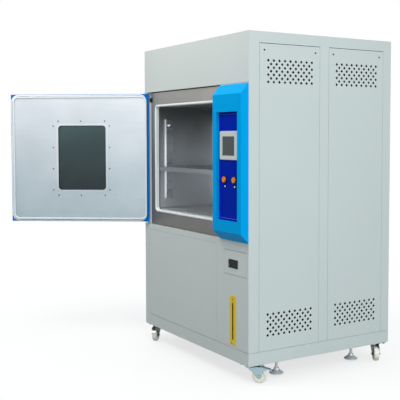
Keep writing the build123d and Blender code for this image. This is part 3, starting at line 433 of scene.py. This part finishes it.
BODY_COLOUR, HOLE_SHADE_COLOUR = (206, 213, 212), (10, 11, 12)
SHEET_FACE = at(BODY_WIDTH - 0.15, 0, 0).x  # just under the outer face of the right side
finish = {
    # painted shade: the cut edges of the vent holes and the panel backs are near black
    "vent_paint": shaded_behind("vent_paint", BODY_COLOUR, HOLE_SHADE_COLOUR, SHEET_FACE),
    "body_paint": painted("body_paint", BODY_COLOUR, tone=0.05),
    "azure_paint": painted("azure_paint", (0, 166, 238), 0.36, 0.03, shine=0.02),
    "door_paint": painted("door_paint", (0, 116, 205), 0.36, 0.03, shine=0.03),
    "royal_panel": painted("royal_panel", (0, 36, 172), 0.4, 0.04, shine=0.02),
    # painted shade: the stainless front is darker towards the bottom
    "stainless": height_shaded(
        "stainless", (112, 112, 110), (166, 164, 160), 0.73, 1.54, 0.42, (8, 8, 700), 0.2
    ),
    # painted shade: the chamber liner is darker towards its top
    "liner_steel": height_shaded(
        "liner_steel", (234, 237, 240), (118, 120, 118), 1.17, 1.5, 0.42, (6, 6, 700), 0.18
    ),
    "shelf_steel": brushed("shelf_steel", (150, 156, 160), 0.42, (8, 700, 700), 0.2),
    # painted shade: the door panel is darker towards the bottom
    "door_steel": height_shaded("door_steel", (163, 179, 186), (213, 219, 226), 0.74, 1.54),
    "rim_steel": brushed("rim_steel", (232, 236, 238), 0.25, (60, 60, 60), 0.05),
    # painted shade: the window rim is darker towards the bottom
    "window_rim": height_shaded(
        "window_rim", (184, 196, 203), (226, 234, 240), 0.9, 1.4, 0.3, (60, 60, 60), 0.05
    ),
    "grey_rubber": moulded("grey_rubber", (228, 234, 238), 0.6, 500, 0.03, shine=0.2),
    "white_rubber": moulded("white_rubber", (246, 248, 249), 0.55, 500, 0.03),
    "foam": moulded("foam", (225, 214, 176), 0.9, 300, 0.2, 0.6),
    # painted light: the window glass is lighter towards its top
    "window_glass": height_shaded_glass("window_glass", (58, 88, 94), (112, 140, 142), 0.95, 1.36),
    "screen": moulded("screen", (72, 78, 82), 0.25, 40, 0.05, 0.0, shine=0.2),
    "bezel_plastic": moulded("bezel_plastic", (206, 212, 210), 0.5, 1200),
    "black_plastic": moulded("black_plastic", (12, 13, 15), 0.5, 1200, shine=0.2),
    "orange_plastic": moulded(
        "orange_plastic", (236, 128, 8), 0.32, 700, 0.04, 0.05, coat=0.08, shine=0.25
    ),
    "yellow_plate": painted("yellow_plate", (236, 198, 30), 0.4, 0.05, shine=0.3),
    "clear_tube": clear_glass("clear_tube", (96, 84, 52), 0.08, 0.6),
    "chrome": brushed("chrome", (222, 224, 228), 0.16, (40, 40, 40), 0.04, 0.02),
    "zinc": moulded("zinc", (168, 190, 198), 0.38, 160, 0.25, 0.1, 0.85),
    "caster_black": painted("caster_black", (34, 35, 38), 0.4, 0.1, shine=0.4),
    "cream_tread": moulded("cream_tread", (253, 252, 240), 0.4, 300, 0.06, 0.1),
    "aluminium_fins": brushed("aluminium_fins", (196, 198, 200), 0.4, (200, 200, 20)),
    "motor_grey": painted("motor_grey", (84, 88, 92), 0.5, 0.08),
    "compressor_black": painted("compressor_black", (22, 22, 24), 0.35, 0.1, 0.3),
    "tank_plastic": moulded("tank_plastic", (222, 226, 224), 0.5, 200, 0.04),
    "dark_stem": moulded("dark_stem", (208, 212, 216), 0.3, 120, 0.25, 0.1, 0.35),
    "dark_screw": moulded("dark_screw", (70, 74, 78), 0.4, 600, 0.2, 0.05, 1.0),
    # near-black foam filters, their darkness also painted shade behind the vents
    "filter_shade_mat": moulded("filter_shade_mat", (8, 9, 9), 0.95, 1600, 0.6, 1.0, shine=0.02),
    # painted highlight: the pale blue of the hem edges
    "hem_highlight": painted("hem_highlight", (122, 118, 208), 0.4, 0.04, shine=0.1),
    # painted shade: near black for the shade in gaps and joints
    "gap_shade": moulded("gap_shade", (26, 28, 29), 0.8, 900, 0.2, 0.1, shine=0.05),
    "milky_lens": moulded("milky_lens", (236, 238, 240), 0.25, 300, 0.02, 0.02, coat=0.5),
}
print("finishes:", len(finish))

# %% [markdown]
# Every CAD node keeps its own mesh and only changes its finish. The record already names a
# slot for each node, so the table is read from there. Some pieces get a closer match than
# their slot: the steel of the chamber, the shelf and its rails, the door and the window rim,
# with painted shade by height on the chamber, door and rim, the light grey door seal, the
# vented panels with painted shade on the cut edges and backs of their holes, the forks of three
# casters, painted dark as painted shade under the cabinet, one brake pedal, and the dark lock.

# %% Dress the CAD nodes
closer = {
    "chamber_liner": "liner_steel", "air_duct_panel": "liner_steel", "shelf": "shelf_steel",
    "shelf_pilasters": "rim_steel", "shelf_clips": "rim_steel",
    "door_inner_panel": "door_steel", "window_frames": "window_rim",
    "door_gasket": "grey_rubber", "service_panels": "vent_paint",
    # painted shade: three forks take the dark finish for the shade under the cabinet
    "caster_fork_front_left": "caster_black", "caster_fork_rear_left": "caster_black",
    "caster_fork_rear_right": "caster_black", "brake_pedal_front_left": "chrome",
    "lock_barrel": "dark_screw",
}
for part in frame["record"]["subparts"]:
    chosen = finish[closer.get(part["node"], part["material_slot"])]
    for slot in nodes[part["node"]].material_slots:
        slot.material = chosen

# %% [markdown]
# The small screws are pan heads. One is modelled from a short cylinder: its top rim is
# bevelled to a dome, then the middle of the top is inset and pushed down for the driver
# recess. All the visible rows are copies of it. The same steps on six sides, with the middle
# pulled up as the end of a stud, make a nut further on.

# %% Pan head screw


def capped(vertices, radius, height, rim, segments, inset, push):
    """A short cylinder with a bevelled top rim; the middle of its top moves by the push."""
    clear_selection()
    bpy.ops.mesh.primitive_cylinder_add(
        vertices=vertices, radius=radius, depth=height, location=(0, 0, height / 2)
    )
    piece = bpy.context.object
    bpy.ops.object.transform_apply(location=True)
    bpy.ops.object.mode_set(mode="EDIT")
    pick_faces(piece, lambda centre, normal: normal.z > 0.9)
    bpy.ops.mesh.bevel(offset=rim, segments=segments, affect="EDGES")
    pick_faces(piece, lambda centre, normal: normal.z > 0.99 and centre.z > height * 0.9)
    bpy.ops.mesh.inset(thickness=inset, depth=0)
    bpy.ops.mesh.extrude_region_move(TRANSFORM_OT_translate={"value": (0, 0, push)})
    bpy.ops.object.mode_set(mode="OBJECT")
    return piece


def pan_head(radius, height):
    rim, inset, recess = height * 0.55, radius * 0.38, -height * 0.45
    return settle(capped(20, radius, height, rim, 3, inset, recess), "pan_head")


LARGE_SCREW, DOOR_SCREW, SMALL_SCREW = (0.0048, 0.0022), (0.0042, 0.0020), (0.004, 0.002)

# %% [markdown]
# Each service panel hangs in its opening and is held by two screws at its top, and two small
# ones hold the level gauge. On the door, fourteen screws hold the inner panel round the
# window. They are placed on the closed door and then turned with it to the open position.

# %% Rows of screws
panel_spots = [at(BODY_WIDTH, y, 1608) for y in (95.7, 424.5, 546.5, 875.3)]
panel_screws = copies(pan_head(*LARGE_SCREW), panel_spots, "panel_screws", FACE_RIGHT)
panel_screws.data.materials.append(finish["dark_screw"])
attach(panel_screws, "cabinet")

round_window = [(x, z) for x in (278, 429, 572) for z in (1270, 807)]
round_window += [(x, z) for x in (248, 604.5) for z in (1240, 1106, 974, 840)]
window_spots = [DOOR_TURN @ Matrix.Translation(at(x, 7.2, z)) for x, z in round_window]
window_screws = copies(pan_head(*DOOR_SCREW), window_spots, "window_screws", FACE_BACK)
window_screws.data.materials.append(finish["dark_screw"])
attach(window_screws, "door")

gauge_spots = [at(998, -2, 323.5), at(990, -2, 94)]
gauge_screws = copies(pan_head(*SMALL_SCREW), gauge_spots, "gauge_screws", FACE_FRONT)
gauge_screws.data.materials.append(finish["dark_screw"])
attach(gauge_screws, "cabinet")

# %% [markdown]
# The pilot lamps have small domed lenses. A sphere is cut in half with a bisect that also
# fills the cut, then flattened. The operator terminal has one tiny light above its screen.

# %% Lamp lenses


def dome(radius, height):
    clear_selection()
    bpy.ops.mesh.primitive_uv_sphere_add(segments=24, ring_count=12, radius=radius)
    lens = bpy.context.object
    bpy.ops.object.mode_set(mode="EDIT")
    bpy.ops.mesh.select_all(action="SELECT")
    bpy.ops.mesh.bisect(plane_co=(0, 0, 0), plane_no=(0, 0, 1), use_fill=True, clear_inner=True)
    bpy.ops.mesh.select_all(action="SELECT")
    bpy.ops.transform.resize(value=(1, 1, height / radius), center_override=(0, 0, 0))
    bpy.ops.mesh.normals_make_consistent(inside=False)
    bpy.ops.object.mode_set(mode="OBJECT")
    return settle(lens, "dome")


lamp_spots = [at(x, -31, 915) for x in (973, 1062)]
lamp_lenses = copies(dome(0.0054, 0.0045), lamp_spots, "lamp_lenses", FACE_FRONT)
lamp_lenses.data.materials.append(finish["milky_lens"])
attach(lamp_lenses, "cabinet")

terminal_light = copies(dome(0.0018, 0.0009), [at(1073, -36, 1188)], "terminal_light", FACE_FRONT)
terminal_light.data.materials.append(finish["black_plastic"])
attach(terminal_light, "cabinet")

# %% [markdown]
# Hexagon nuts hold the caster plates and the axles. One nut is a six-sided cylinder with its
# top edges bevelled and a stud end left proud in the middle. The casters stand turned as
# they were left, and each fork takes its own pair of axle nuts with it.

# %% Hexagon nuts
FLATS_TO_CORNER = 1.732
CASTER_INSET = 55
AXLE_FORWARD, AXLE_HALF, AXLE_DOWN = 0.045, 0.0215, -0.062


def hex_nut(across, height, stud):
    nut = capped(6, across / FLATS_TO_CORNER, height, height * 0.16, 2, across * 0.22, stud)
    return settle(nut, "hex_nut")


casters = {
    "front_left": (CASTER_INSET, CASTER_INSET, -45),
    "front_right": (BODY_WIDTH - CASTER_INSET, CASTER_INSET, 50),
    "rear_left": (CASTER_INSET, BODY_DEPTH - CASTER_INSET, -60),
    "rear_right": (BODY_WIDTH - CASTER_INSET, BODY_DEPTH - CASTER_INSET, -31),
}
plate_spots = [
    at(x + dx, y + dy, -4) for x, y, _ in casters.values() for dx in (-40, 40) for dy in (-35, 35)
]
plate_nuts = copies(hex_nut(0.013, 0.006, 0.003), plate_spots, "plate_nuts", FACE_DOWN)
plate_nuts.data.materials.append(finish["zinc"])
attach(plate_nuts, "cabinet")

for place, (x, y, angle) in casters.items():
    fork = Matrix.Translation(at(x, y, 0)) @ rotation(angle, "Z")
    spots = []
    for side, outward in ((-1, FACE_FRONT), (1, FACE_BACK)):
        end = Matrix.Translation((AXLE_FORWARD, side * AXLE_HALF, AXLE_DOWN))
        spots.append(fork @ end @ outward)
    axle_nuts = copies(hex_nut(0.011, 0.004, 0.002), spots, "axle_nuts_" + place)
    axle_nuts.data.materials.append(finish["zinc"])
    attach(axle_nuts, "fork_" + place)

# %% [markdown]
# Black foam mats lie behind the diamond vents as dust filters, and their near-black colour is
# also painted shade that makes the holes read dark. One mat is a cube stretched flat with its
# edges rounded, and the open-cell foam is in its finish. The four mats are copies that lie
# against the inside of the service panels.

# %% Filter mats


def rounded_block(size, rim, segments, name):
    """A cube stretched to the size, in metres, with its edges rounded."""
    clear_selection()
    bpy.ops.mesh.primitive_cube_add(size=1)
    block = bpy.context.object
    block.scale = size
    bpy.ops.object.transform_apply(scale=True)
    bpy.ops.object.mode_set(mode="EDIT")
    bpy.ops.mesh.select_all(action="SELECT")
    bpy.ops.mesh.bevel(offset=rim, segments=segments, affect="EDGES")
    bpy.ops.object.mode_set(mode="OBJECT")
    return settle(block, name)


mat = rounded_block((0.007, 0.33, 0.146), 0.002, 2, "mat")
mat_spots = [at(1134.9, y, z) for y in (260.1, 710.9) for z in (203, 1502)]
filter_mats = copies(mat, mat_spots, "filter_mats")
filter_mats.data.materials.append(finish["filter_shade_mat"])
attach(filter_mats, "cabinet")

# %% [markdown]
# A thin dark bead seals the inner pane to its frame. A flat rectangle gets its corners
# rounded by a vertex bevel, its face is deleted, and the outline left over is turned into a
# curve with a round section and then back into a mesh. It is turned with the door.

# %% Window bead


def rounded_outline(x0, x1, z0, z1, y, radius, segments):
    """The edge of an upright rectangle with rounded corners, on the closed door."""
    clear_selection()
    bpy.ops.mesh.primitive_plane_add(size=1, rotation=(math.radians(90), 0, 0))
    outline = bpy.context.object
    outline.scale = ((x1 - x0) / 1000, (z1 - z0) / 1000, 1)
    bpy.ops.object.transform_apply(location=True, rotation=True, scale=True)
    bpy.ops.object.mode_set(mode="EDIT")
    bpy.ops.mesh.select_all(action="SELECT")
    bpy.ops.mesh.bevel(offset=radius, segments=segments, affect="VERTICES")
    bpy.ops.mesh.select_all(action="SELECT")
    bpy.ops.mesh.delete(type="ONLY_FACE")
    bpy.ops.object.mode_set(mode="OBJECT")
    outline.data.transform(Matrix.Translation(at((x0 + x1) / 2, y, (z0 + z1) / 2)))
    return outline


def door_wire(outline, radius, resolution, name):
    """Gives the outline a round section and turns it with the door."""
    choose(outline)
    bpy.ops.object.convert(target="CURVE")
    curve = bpy.context.object.data
    curve.bevel_depth = radius
    curve.bevel_resolution = resolution
    bpy.ops.object.convert(target="MESH")
    wire = bpy.context.object
    wire.data.transform(DOOR_TURN)
    return settle(wire, name, 60)


pane = rounded_outline(273.55, 569.95, 842.8, 1241.2, 6.6, 0.018, 8)
window_bead = door_wire(pane, 0.0018, 3, "window_bead")
window_bead.data.materials.append(finish["black_plastic"])
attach(window_bead, "door")

# %% [markdown]
# A lock nut under the plinth holds each levelling foot. It needs a hole for the stem, so the
# top and bottom faces of a six-sided cylinder are inset, and what is left in their middles
# is bridged.

# %% Foot lock nuts


def open_nut(across, height, hole):
    rim = height * 0.12
    clear_selection()
    bpy.ops.mesh.primitive_cylinder_add(
        vertices=6, radius=across / FLATS_TO_CORNER, depth=height
    )
    nut = bpy.context.object
    bpy.ops.object.mode_set(mode="EDIT")
    pick_faces(nut, lambda centre, normal: abs(normal.z) > 0.9)
    bpy.ops.mesh.bevel(offset=rim, segments=2, affect="EDGES")
    pick_faces(nut, lambda centre, normal: abs(normal.z) > 0.99)
    bpy.ops.mesh.inset(thickness=across / 2 - rim - hole, depth=0)
    pick_faces(nut, lambda centre, normal: abs(normal.z) > 0.99 and centre.to_2d().length < 0.001)
    bpy.ops.mesh.bridge_edge_loops()
    bpy.ops.mesh.select_all(action="SELECT")
    bpy.ops.mesh.normals_make_consistent(inside=False)
    bpy.ops.object.mode_set(mode="OBJECT")
    return settle(nut, "open_nut")


foot_spots = [at(x, y, -4.6) for x in (65, BODY_WIDTH - 65) for y in (224, 744)]
foot_nuts = copies(open_nut(0.026, 0.009, 0.0088), foot_spots, "foot_nuts")
foot_nuts.data.materials.append(finish["zinc"])
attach(foot_nuts, "cabinet")

# %% [markdown]
# The back sheet is held by a column of screws at each side, and the air duct panel inside the
# chamber by six small ones. They are more copies of the pan head.

# %% Back and duct screws
back_spots = [at(x, BODY_DEPTH, z) for x in (16, BODY_WIDTH - 16) for z in range(100, 1700, 258)]
back_screws = copies(pan_head(*LARGE_SCREW), back_spots, "back_screws", FACE_BACK)
back_screws.data.materials.append(finish["dark_screw"])
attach(back_screws, "cabinet")

duct_spots = [at(x, 560, z) for x in (132, 796) for z in (750, 1040, 1331)]
duct_screws = copies(pan_head(*SMALL_SCREW), duct_spots, "duct_screws", FACE_FRONT)
duct_screws.data.materials.append(finish["zinc"])
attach(duct_screws, "cabinet")

# %% [markdown]
# Thin beads lie in the joints of the sheet metal. One function draws a bead as a curve with a
# round section through the corners it is given and turns it into a mesh. Black beads are
# painted shade in the gaps round the service panels, over the front panel, along the drawer and
# under the fascia, and pale ones fill the seam above the plinth and the sides of the drawer's
# opening.

# %% Beads in the joints


def bead(corners, radius, closed=False):
    """A line with a round section through the corners."""
    curve = bpy.data.curves.new("bead", "CURVE")
    curve.dimensions = "3D"
    curve.bevel_depth = radius
    curve.bevel_resolution = 1
    curve.use_fill_caps = True
    line = curve.splines.new("POLY")
    line.points.add(len(corners) - 1)
    for point, corner in zip(line.points, corners):
        point.co = (*corner, 1)
    line.use_cyclic_u = closed
    choose(add_object("bead", curve))
    bpy.ops.object.convert(target="MESH")
    return bpy.context.object


def joined(pieces, name):
    return settle(join(pieces), name, 60)


PANEL_LOW, PANEL_HIGH = 69.6, 1641.5
# painted shade: dark beads stand in for the shade inside the panel and drawer gaps
dark_beads = []
for y0, y1 in ((65.2, 455.0), (516.0, 905.8)):
    edge = ((y0, PANEL_LOW), (y1, PANEL_LOW), (y1, PANEL_HIGH), (y0, PANEL_HIGH))
    dark_beads.append(bead([at(1139.3, y, z) for y, z in edge], 0.00049, closed=True))
    dark_beads.append(bead([at(1139.4, y, 1641.6) for y in (y0, y1)], 0.0015))
over_panel = ((56.5, 75), (56.5, 600.5), (838.5, 600.5), (838.5, 75))
dark_beads.append(bead([at(x, 1.2, z) for x, z in over_panel], 0.00046))
for z in (452.5, 580):
    dark_beads.append(bead([at(x, 1.4, z) for x in (915, 1120)], 0.0009))
gap_beads = joined(dark_beads, "gap_beads")
gap_beads.data.materials.append(finish["gap_shade"])
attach(gap_beads, "cabinet")

# painted shade: a dark bead stands in for the shade under the fascia
fascia_bead = joined([bead([at(x, 17.6, 1442.2) for x in (58, 872)], 0.0026)], "fascia_bead")
fascia_bead.data.materials.append(finish["gap_shade"])
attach(fascia_bead, "cabinet")

PLINTH_LEFT, PLINTH_FRONT = 4, 3.4
PLINTH_RIGHT, PLINTH_BACK = BODY_WIDTH - 3.4, BODY_DEPTH - 4
round_plinth = (
    (PLINTH_LEFT, PLINTH_BACK), (PLINTH_LEFT, PLINTH_FRONT),
    (PLINTH_RIGHT, PLINTH_FRONT), (PLINTH_RIGHT, PLINTH_BACK),
)
pale_beads = [bead([at(x, y, 68) for x, y in round_plinth], 0.001)]
pale_beads.append(bead([at(x, 3.6, 69.6) for x in (58, 837)], 0.0013))
for x in (913, 1122):
    pale_beads.append(bead([at(x, 1.2, z) for z in (453, 579.5)], 0.0008))
plinth_bead = joined(pale_beads, "plinth_bead")
plinth_bead.data.materials.append(finish["body_paint"])
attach(plinth_bead, "cabinet")

# %% [markdown]
# The door seal has a thin flat lip that reaches out over the blue pan on the three sides away
# from the pivots, so that only the corners of the pan show. Two rounded rectangles with as
# many points each are bridged into a flat ring, which gets its thickness by extrusion. A fine
# dark bead is painted shade along the line between the lip and the grey bulb of the seal.

# %% Door seal lip
LIP_Y, SHADE_LINE_Y, CORNER_SEGMENTS = 6.5, 8.4, 10
outer = rounded_outline(14.2, 869.5, 645.5, 1434.5, LIP_Y, 0.045, CORNER_SEGMENTS)
inner = rounded_outline(14.2, 859.8, 655.2, 1424.8, LIP_Y, 0.04, CORNER_SEGMENTS)
seal_lip = join([outer, inner])
bpy.ops.object.mode_set(mode="EDIT")
bpy.ops.mesh.select_all(action="SELECT")
bpy.ops.mesh.bridge_edge_loops()
bpy.ops.mesh.select_all(action="SELECT")
bpy.ops.mesh.extrude_region_move(TRANSFORM_OT_translate={"value": (0, 0.0012, 0)})
bpy.ops.mesh.select_all(action="SELECT")
bpy.ops.mesh.normals_make_consistent(inside=False)
bpy.ops.object.mode_set(mode="OBJECT")
seal_lip.data.transform(DOOR_TURN)
settle(seal_lip, "seal_lip")
seal_lip.data.materials.append(finish["white_rubber"])
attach(seal_lip, "door")

# painted shade: a fine dark bead along the inner edge of the seal lip
shade_outline = rounded_outline(13.4, 860.6, 654.4, 1425.6, SHADE_LINE_Y, 0.041, CORNER_SEGMENTS)
seal_shade_line = door_wire(shade_outline, 0.002, 2, "seal_shade_line")
seal_shade_line.data.materials.append(finish["gap_shade"])
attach(seal_shade_line, "door")

# %% [markdown]
# The sheet of the control panel is folded over at its top and bottom. Each hem is a cube
# stretched to the fold's width with its long edges rounded, and a thin pale bead on the edge
# of the fold is a painted highlight, where the edge would catch the light.

# %% Hems of the control panel
HEM_WIDTH, HEM_THICKNESS, HEM_HEIGHT = 0.1932, 0.0012, 0.011
hem = rounded_block((HEM_WIDTH, HEM_THICKNESS, HEM_HEIGHT), HEM_THICKNESS * 0.35, 3, "hem")
panel_hems = copies(hem, [at(1008, -30.5, z) for z in (743.6, 1292.4)], "panel_hems")
panel_hems.data.materials.append(finish["royal_panel"])
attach(panel_hems, "cabinet")

# painted highlight along the edge of each fold
edges = [bead([at(x, -30.9, z) for x in (912, 1104)], 0.0011) for z in (749.6, 1286.4)]
hem_edges = joined(edges, "hem_edges")
hem_edges.data.materials.append(finish["hem_highlight"])
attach(hem_edges, "cabinet")

# %% [markdown]
# A rubber grommet closes the supply hole in the back sheet, where the mains lead would enter.
# It is a torus flattened to a lip, with a shallow domed middle of the same rubber.

# %% Supply grommet
clear_selection()
bpy.ops.mesh.primitive_torus_add(
    major_radius=0.017, minor_radius=0.0035, major_segments=40, minor_segments=12
)
grommet_lip = bpy.context.object
grommet_lip.scale = (1, 1, 0.6)
settle(grommet_lip, "grommet_lip")
grommet_middle = dome(0.0165, 0.0016)
grommet = joined([grommet_lip, grommet_middle], "supply_grommet")
grommet.data.transform(Matrix.Translation(at(1050, BODY_DEPTH, 520)) @ FACE_BACK)
grommet.data.materials.append(finish["black_plastic"])
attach(grommet, "cabinet")

# %% [markdown]
# The floor looks white to the camera and in reflections, by way of Light Path, and still
# shows the shadow: near the object part of what is seen is the plain lit surface, and
# further out it is all white. To the other rays it is a dull grey floor.

# %% Floor


def seen_directly(tree):
    """1 for what the camera sees itself, in gloss or through glass, and 0 for other rays."""
    rays = add_node(tree, "LightPath")
    seen = rays.outputs["Is Camera Ray"]
    for kind in ("Is Glossy Ray", "Is Transmission Ray"):
        larger = add_node(tree, "Math", "MAXIMUM")
        tree.links.new(seen, larger.inputs[0])
        tree.links.new(rays.outputs[kind], larger.inputs[1])
        seen = larger.outputs[0]
    return seen


clear_selection()
bpy.ops.mesh.primitive_plane_add(size=40, location=(0, 0, 0))
floor = bpy.context.object
floor.name = "floor"
floor_paint, floor_shader, floor_tree = start("floor_paint")
set_values(floor_shader, {"Roughness": 0.9, "Specular IOR Level": 0.0})
floor_seen = seen_directly(floor_tree)
floor_place = add_node(floor_tree, "TexCoord")
flat_place = add_node(floor_tree, "VectorMath", "MULTIPLY", {1: (1, 1, 0)})
away = add_node(floor_tree, "VectorMath", "LENGTH")
fade = add_node(floor_tree, "MapRange")
fade.interpolation_type = "SMOOTHSTEP"
set_values(fade, {"From Min": 0.7, "From Max": 2.6, "To Min": 0.72, "To Max": 1.0})
share = add_node(floor_tree, "Math", "MULTIPLY")
floor_tone = add_node(floor_tree, "Mix")
floor_tone.data_type = "RGBA"
set_values(floor_tone, {MIX_LOW: (0.3, 0.32, 0.33, 1), MIX_HIGH: (0.92, 0.92, 0.92, 1)})
glow = add_node(floor_tree, "Emission", values={"Strength": 1.0})
both = add_node(floor_tree, "MixShader")
link = floor_tree.links.new
link(floor_place.outputs["Object"], flat_place.inputs[0])
link(flat_place.outputs[0], away.inputs[0])
link(away.outputs["Value"], fade.inputs["Value"])
link(floor_seen, share.inputs[0])
link(floor_seen, floor_tone.inputs[0])
link(floor_tone.outputs[MIX_RESULT], floor_shader.inputs["Base Color"])
link(fade.outputs["Result"], share.inputs[1])
link(share.outputs[0], both.inputs["Fac"])
link(floor_shader.outputs[0], both.inputs[1])
link(glow.outputs[0], both.inputs[2])
link(both.outputs[0], floor_tree.nodes["Material Output"].inputs["Surface"])
floor.data.materials.append(floor_paint)

# %% [markdown]
# The world is a soft room: brighter overhead and towards the vented side, dimmer in front,
# and white where it is seen directly, in gloss or through glass. A warm lamp above the front
# falls off down the door and the lower panels, a large cool one lights the vented side
# evenly, and a third keeps the plain left side and the outside of the door from going dark.

# %% World and lamps
world = bpy.data.worlds.new("studio")
bpy.context.scene.world = world
world.use_nodes = True
room = world.node_tree
room.nodes.clear()
room_seen = seen_directly(room)
sky_place = add_node(room, "TexCoord")
sky_side = add_node(room, "VectorMath", "DOT_PRODUCT", {1: (0.55, 0.6, 0.58)})
sky_light = add_node(room, "MapRange")
set_values(sky_light, {"From Min": -1.0, "From Max": 1.0, "To Min": -0.12, "To Max": 1.0})
plain = add_node(room, "Background", values={"Color": (0.88, 0.985, 1.0, 1)})
white = add_node(room, "Background", values={"Color": (1, 1, 1, 1), "Strength": 1.0})
choice = add_node(room, "MixShader")
out = add_node(room, "OutputWorld")
link = room.links.new
link(sky_place.outputs["Generated"], sky_side.inputs[0])
link(sky_side.outputs["Value"], sky_light.inputs["Value"])
link(sky_light.outputs["Result"], plain.inputs["Strength"])
link(room_seen, choice.inputs["Fac"])
link(plain.outputs[0], choice.inputs[1])
link(white.outputs[0], choice.inputs[2])
link(choice.outputs[0], out.inputs["Surface"])


def soft_lamp(name, place, aim, size, power, colour):
    """A square lamp aimed at a point; the camera sees it neither straight nor in glass."""
    data = bpy.data.lights.new(name, "AREA")
    data.shape = "SQUARE"
    data.size = size
    data.energy = power
    data.color = colour
    lamp = add_object(name, data)
    lamp.location = place
    lamp.rotation_euler = (Vector(aim) - Vector(place)).to_track_quat("-Z", "Y").to_euler()
    lamp.visible_camera = False
    lamp.visible_transmission = False


soft_lamp("front_lamp", (0.2, -1.7, 3.3), (0.1, -0.14, 1.5), 1.2, 44, (1.0, 0.97, 0.92))
soft_lamp("side_lamp", (4.2, -0.9, 2.4), (0.8, 0.2, 1.0), 2.4, 68, (0.99, 1.0, 1.0))
soft_lamp("left_lamp", (-3.9, 1.4, 2.2), (-0.3, 0.3, 0.9), 2.4, 60, (1.0, 1.0, 1.0))

# %% [markdown]
# The camera stands where the photograph was taken from: to the right of the front, a little
# below the roof. Its lens and its small upward shift frame the cabinet as the photograph
# does. The angles are turned into a rotation through the three axes of the view.

# %% Camera
PHOTO_PIXELS, SENSOR = 400, 36
FOCAL_PIXELS, SHIFT_PIXELS = 783.5, -21.17
yaw, pitch, roll = math.radians(-59.043), math.radians(-3.057), math.radians(-0.124)
ahead = Vector((math.sin(yaw) * math.cos(pitch), math.cos(yaw) * math.cos(pitch), math.sin(pitch)))
level = Vector((math.cos(yaw), -math.sin(yaw), 0))
upward = level.cross(ahead)
right = math.cos(roll) * level + math.sin(roll) * upward
above = -math.sin(roll) * level + math.cos(roll) * upward
turned = Matrix((right, above, -ahead)).transposed()
view = bpy.data.cameras.new("view")
view.sensor_width = SENSOR
view.lens = FOCAL_PIXELS / PHOTO_PIXELS * SENSOR
view.shift_y = SHIFT_PIXELS / PHOTO_PIXELS
camera = add_object("view", view)
camera.location = at(4379.3, -2227.5, 1169.9)
camera.rotation_euler = turned.to_euler()
bpy.context.scene.camera = camera
bpy.context.scene.view_settings.view_transform = "Standard"
print("camera at", [round(v, 3) for v in camera.location])
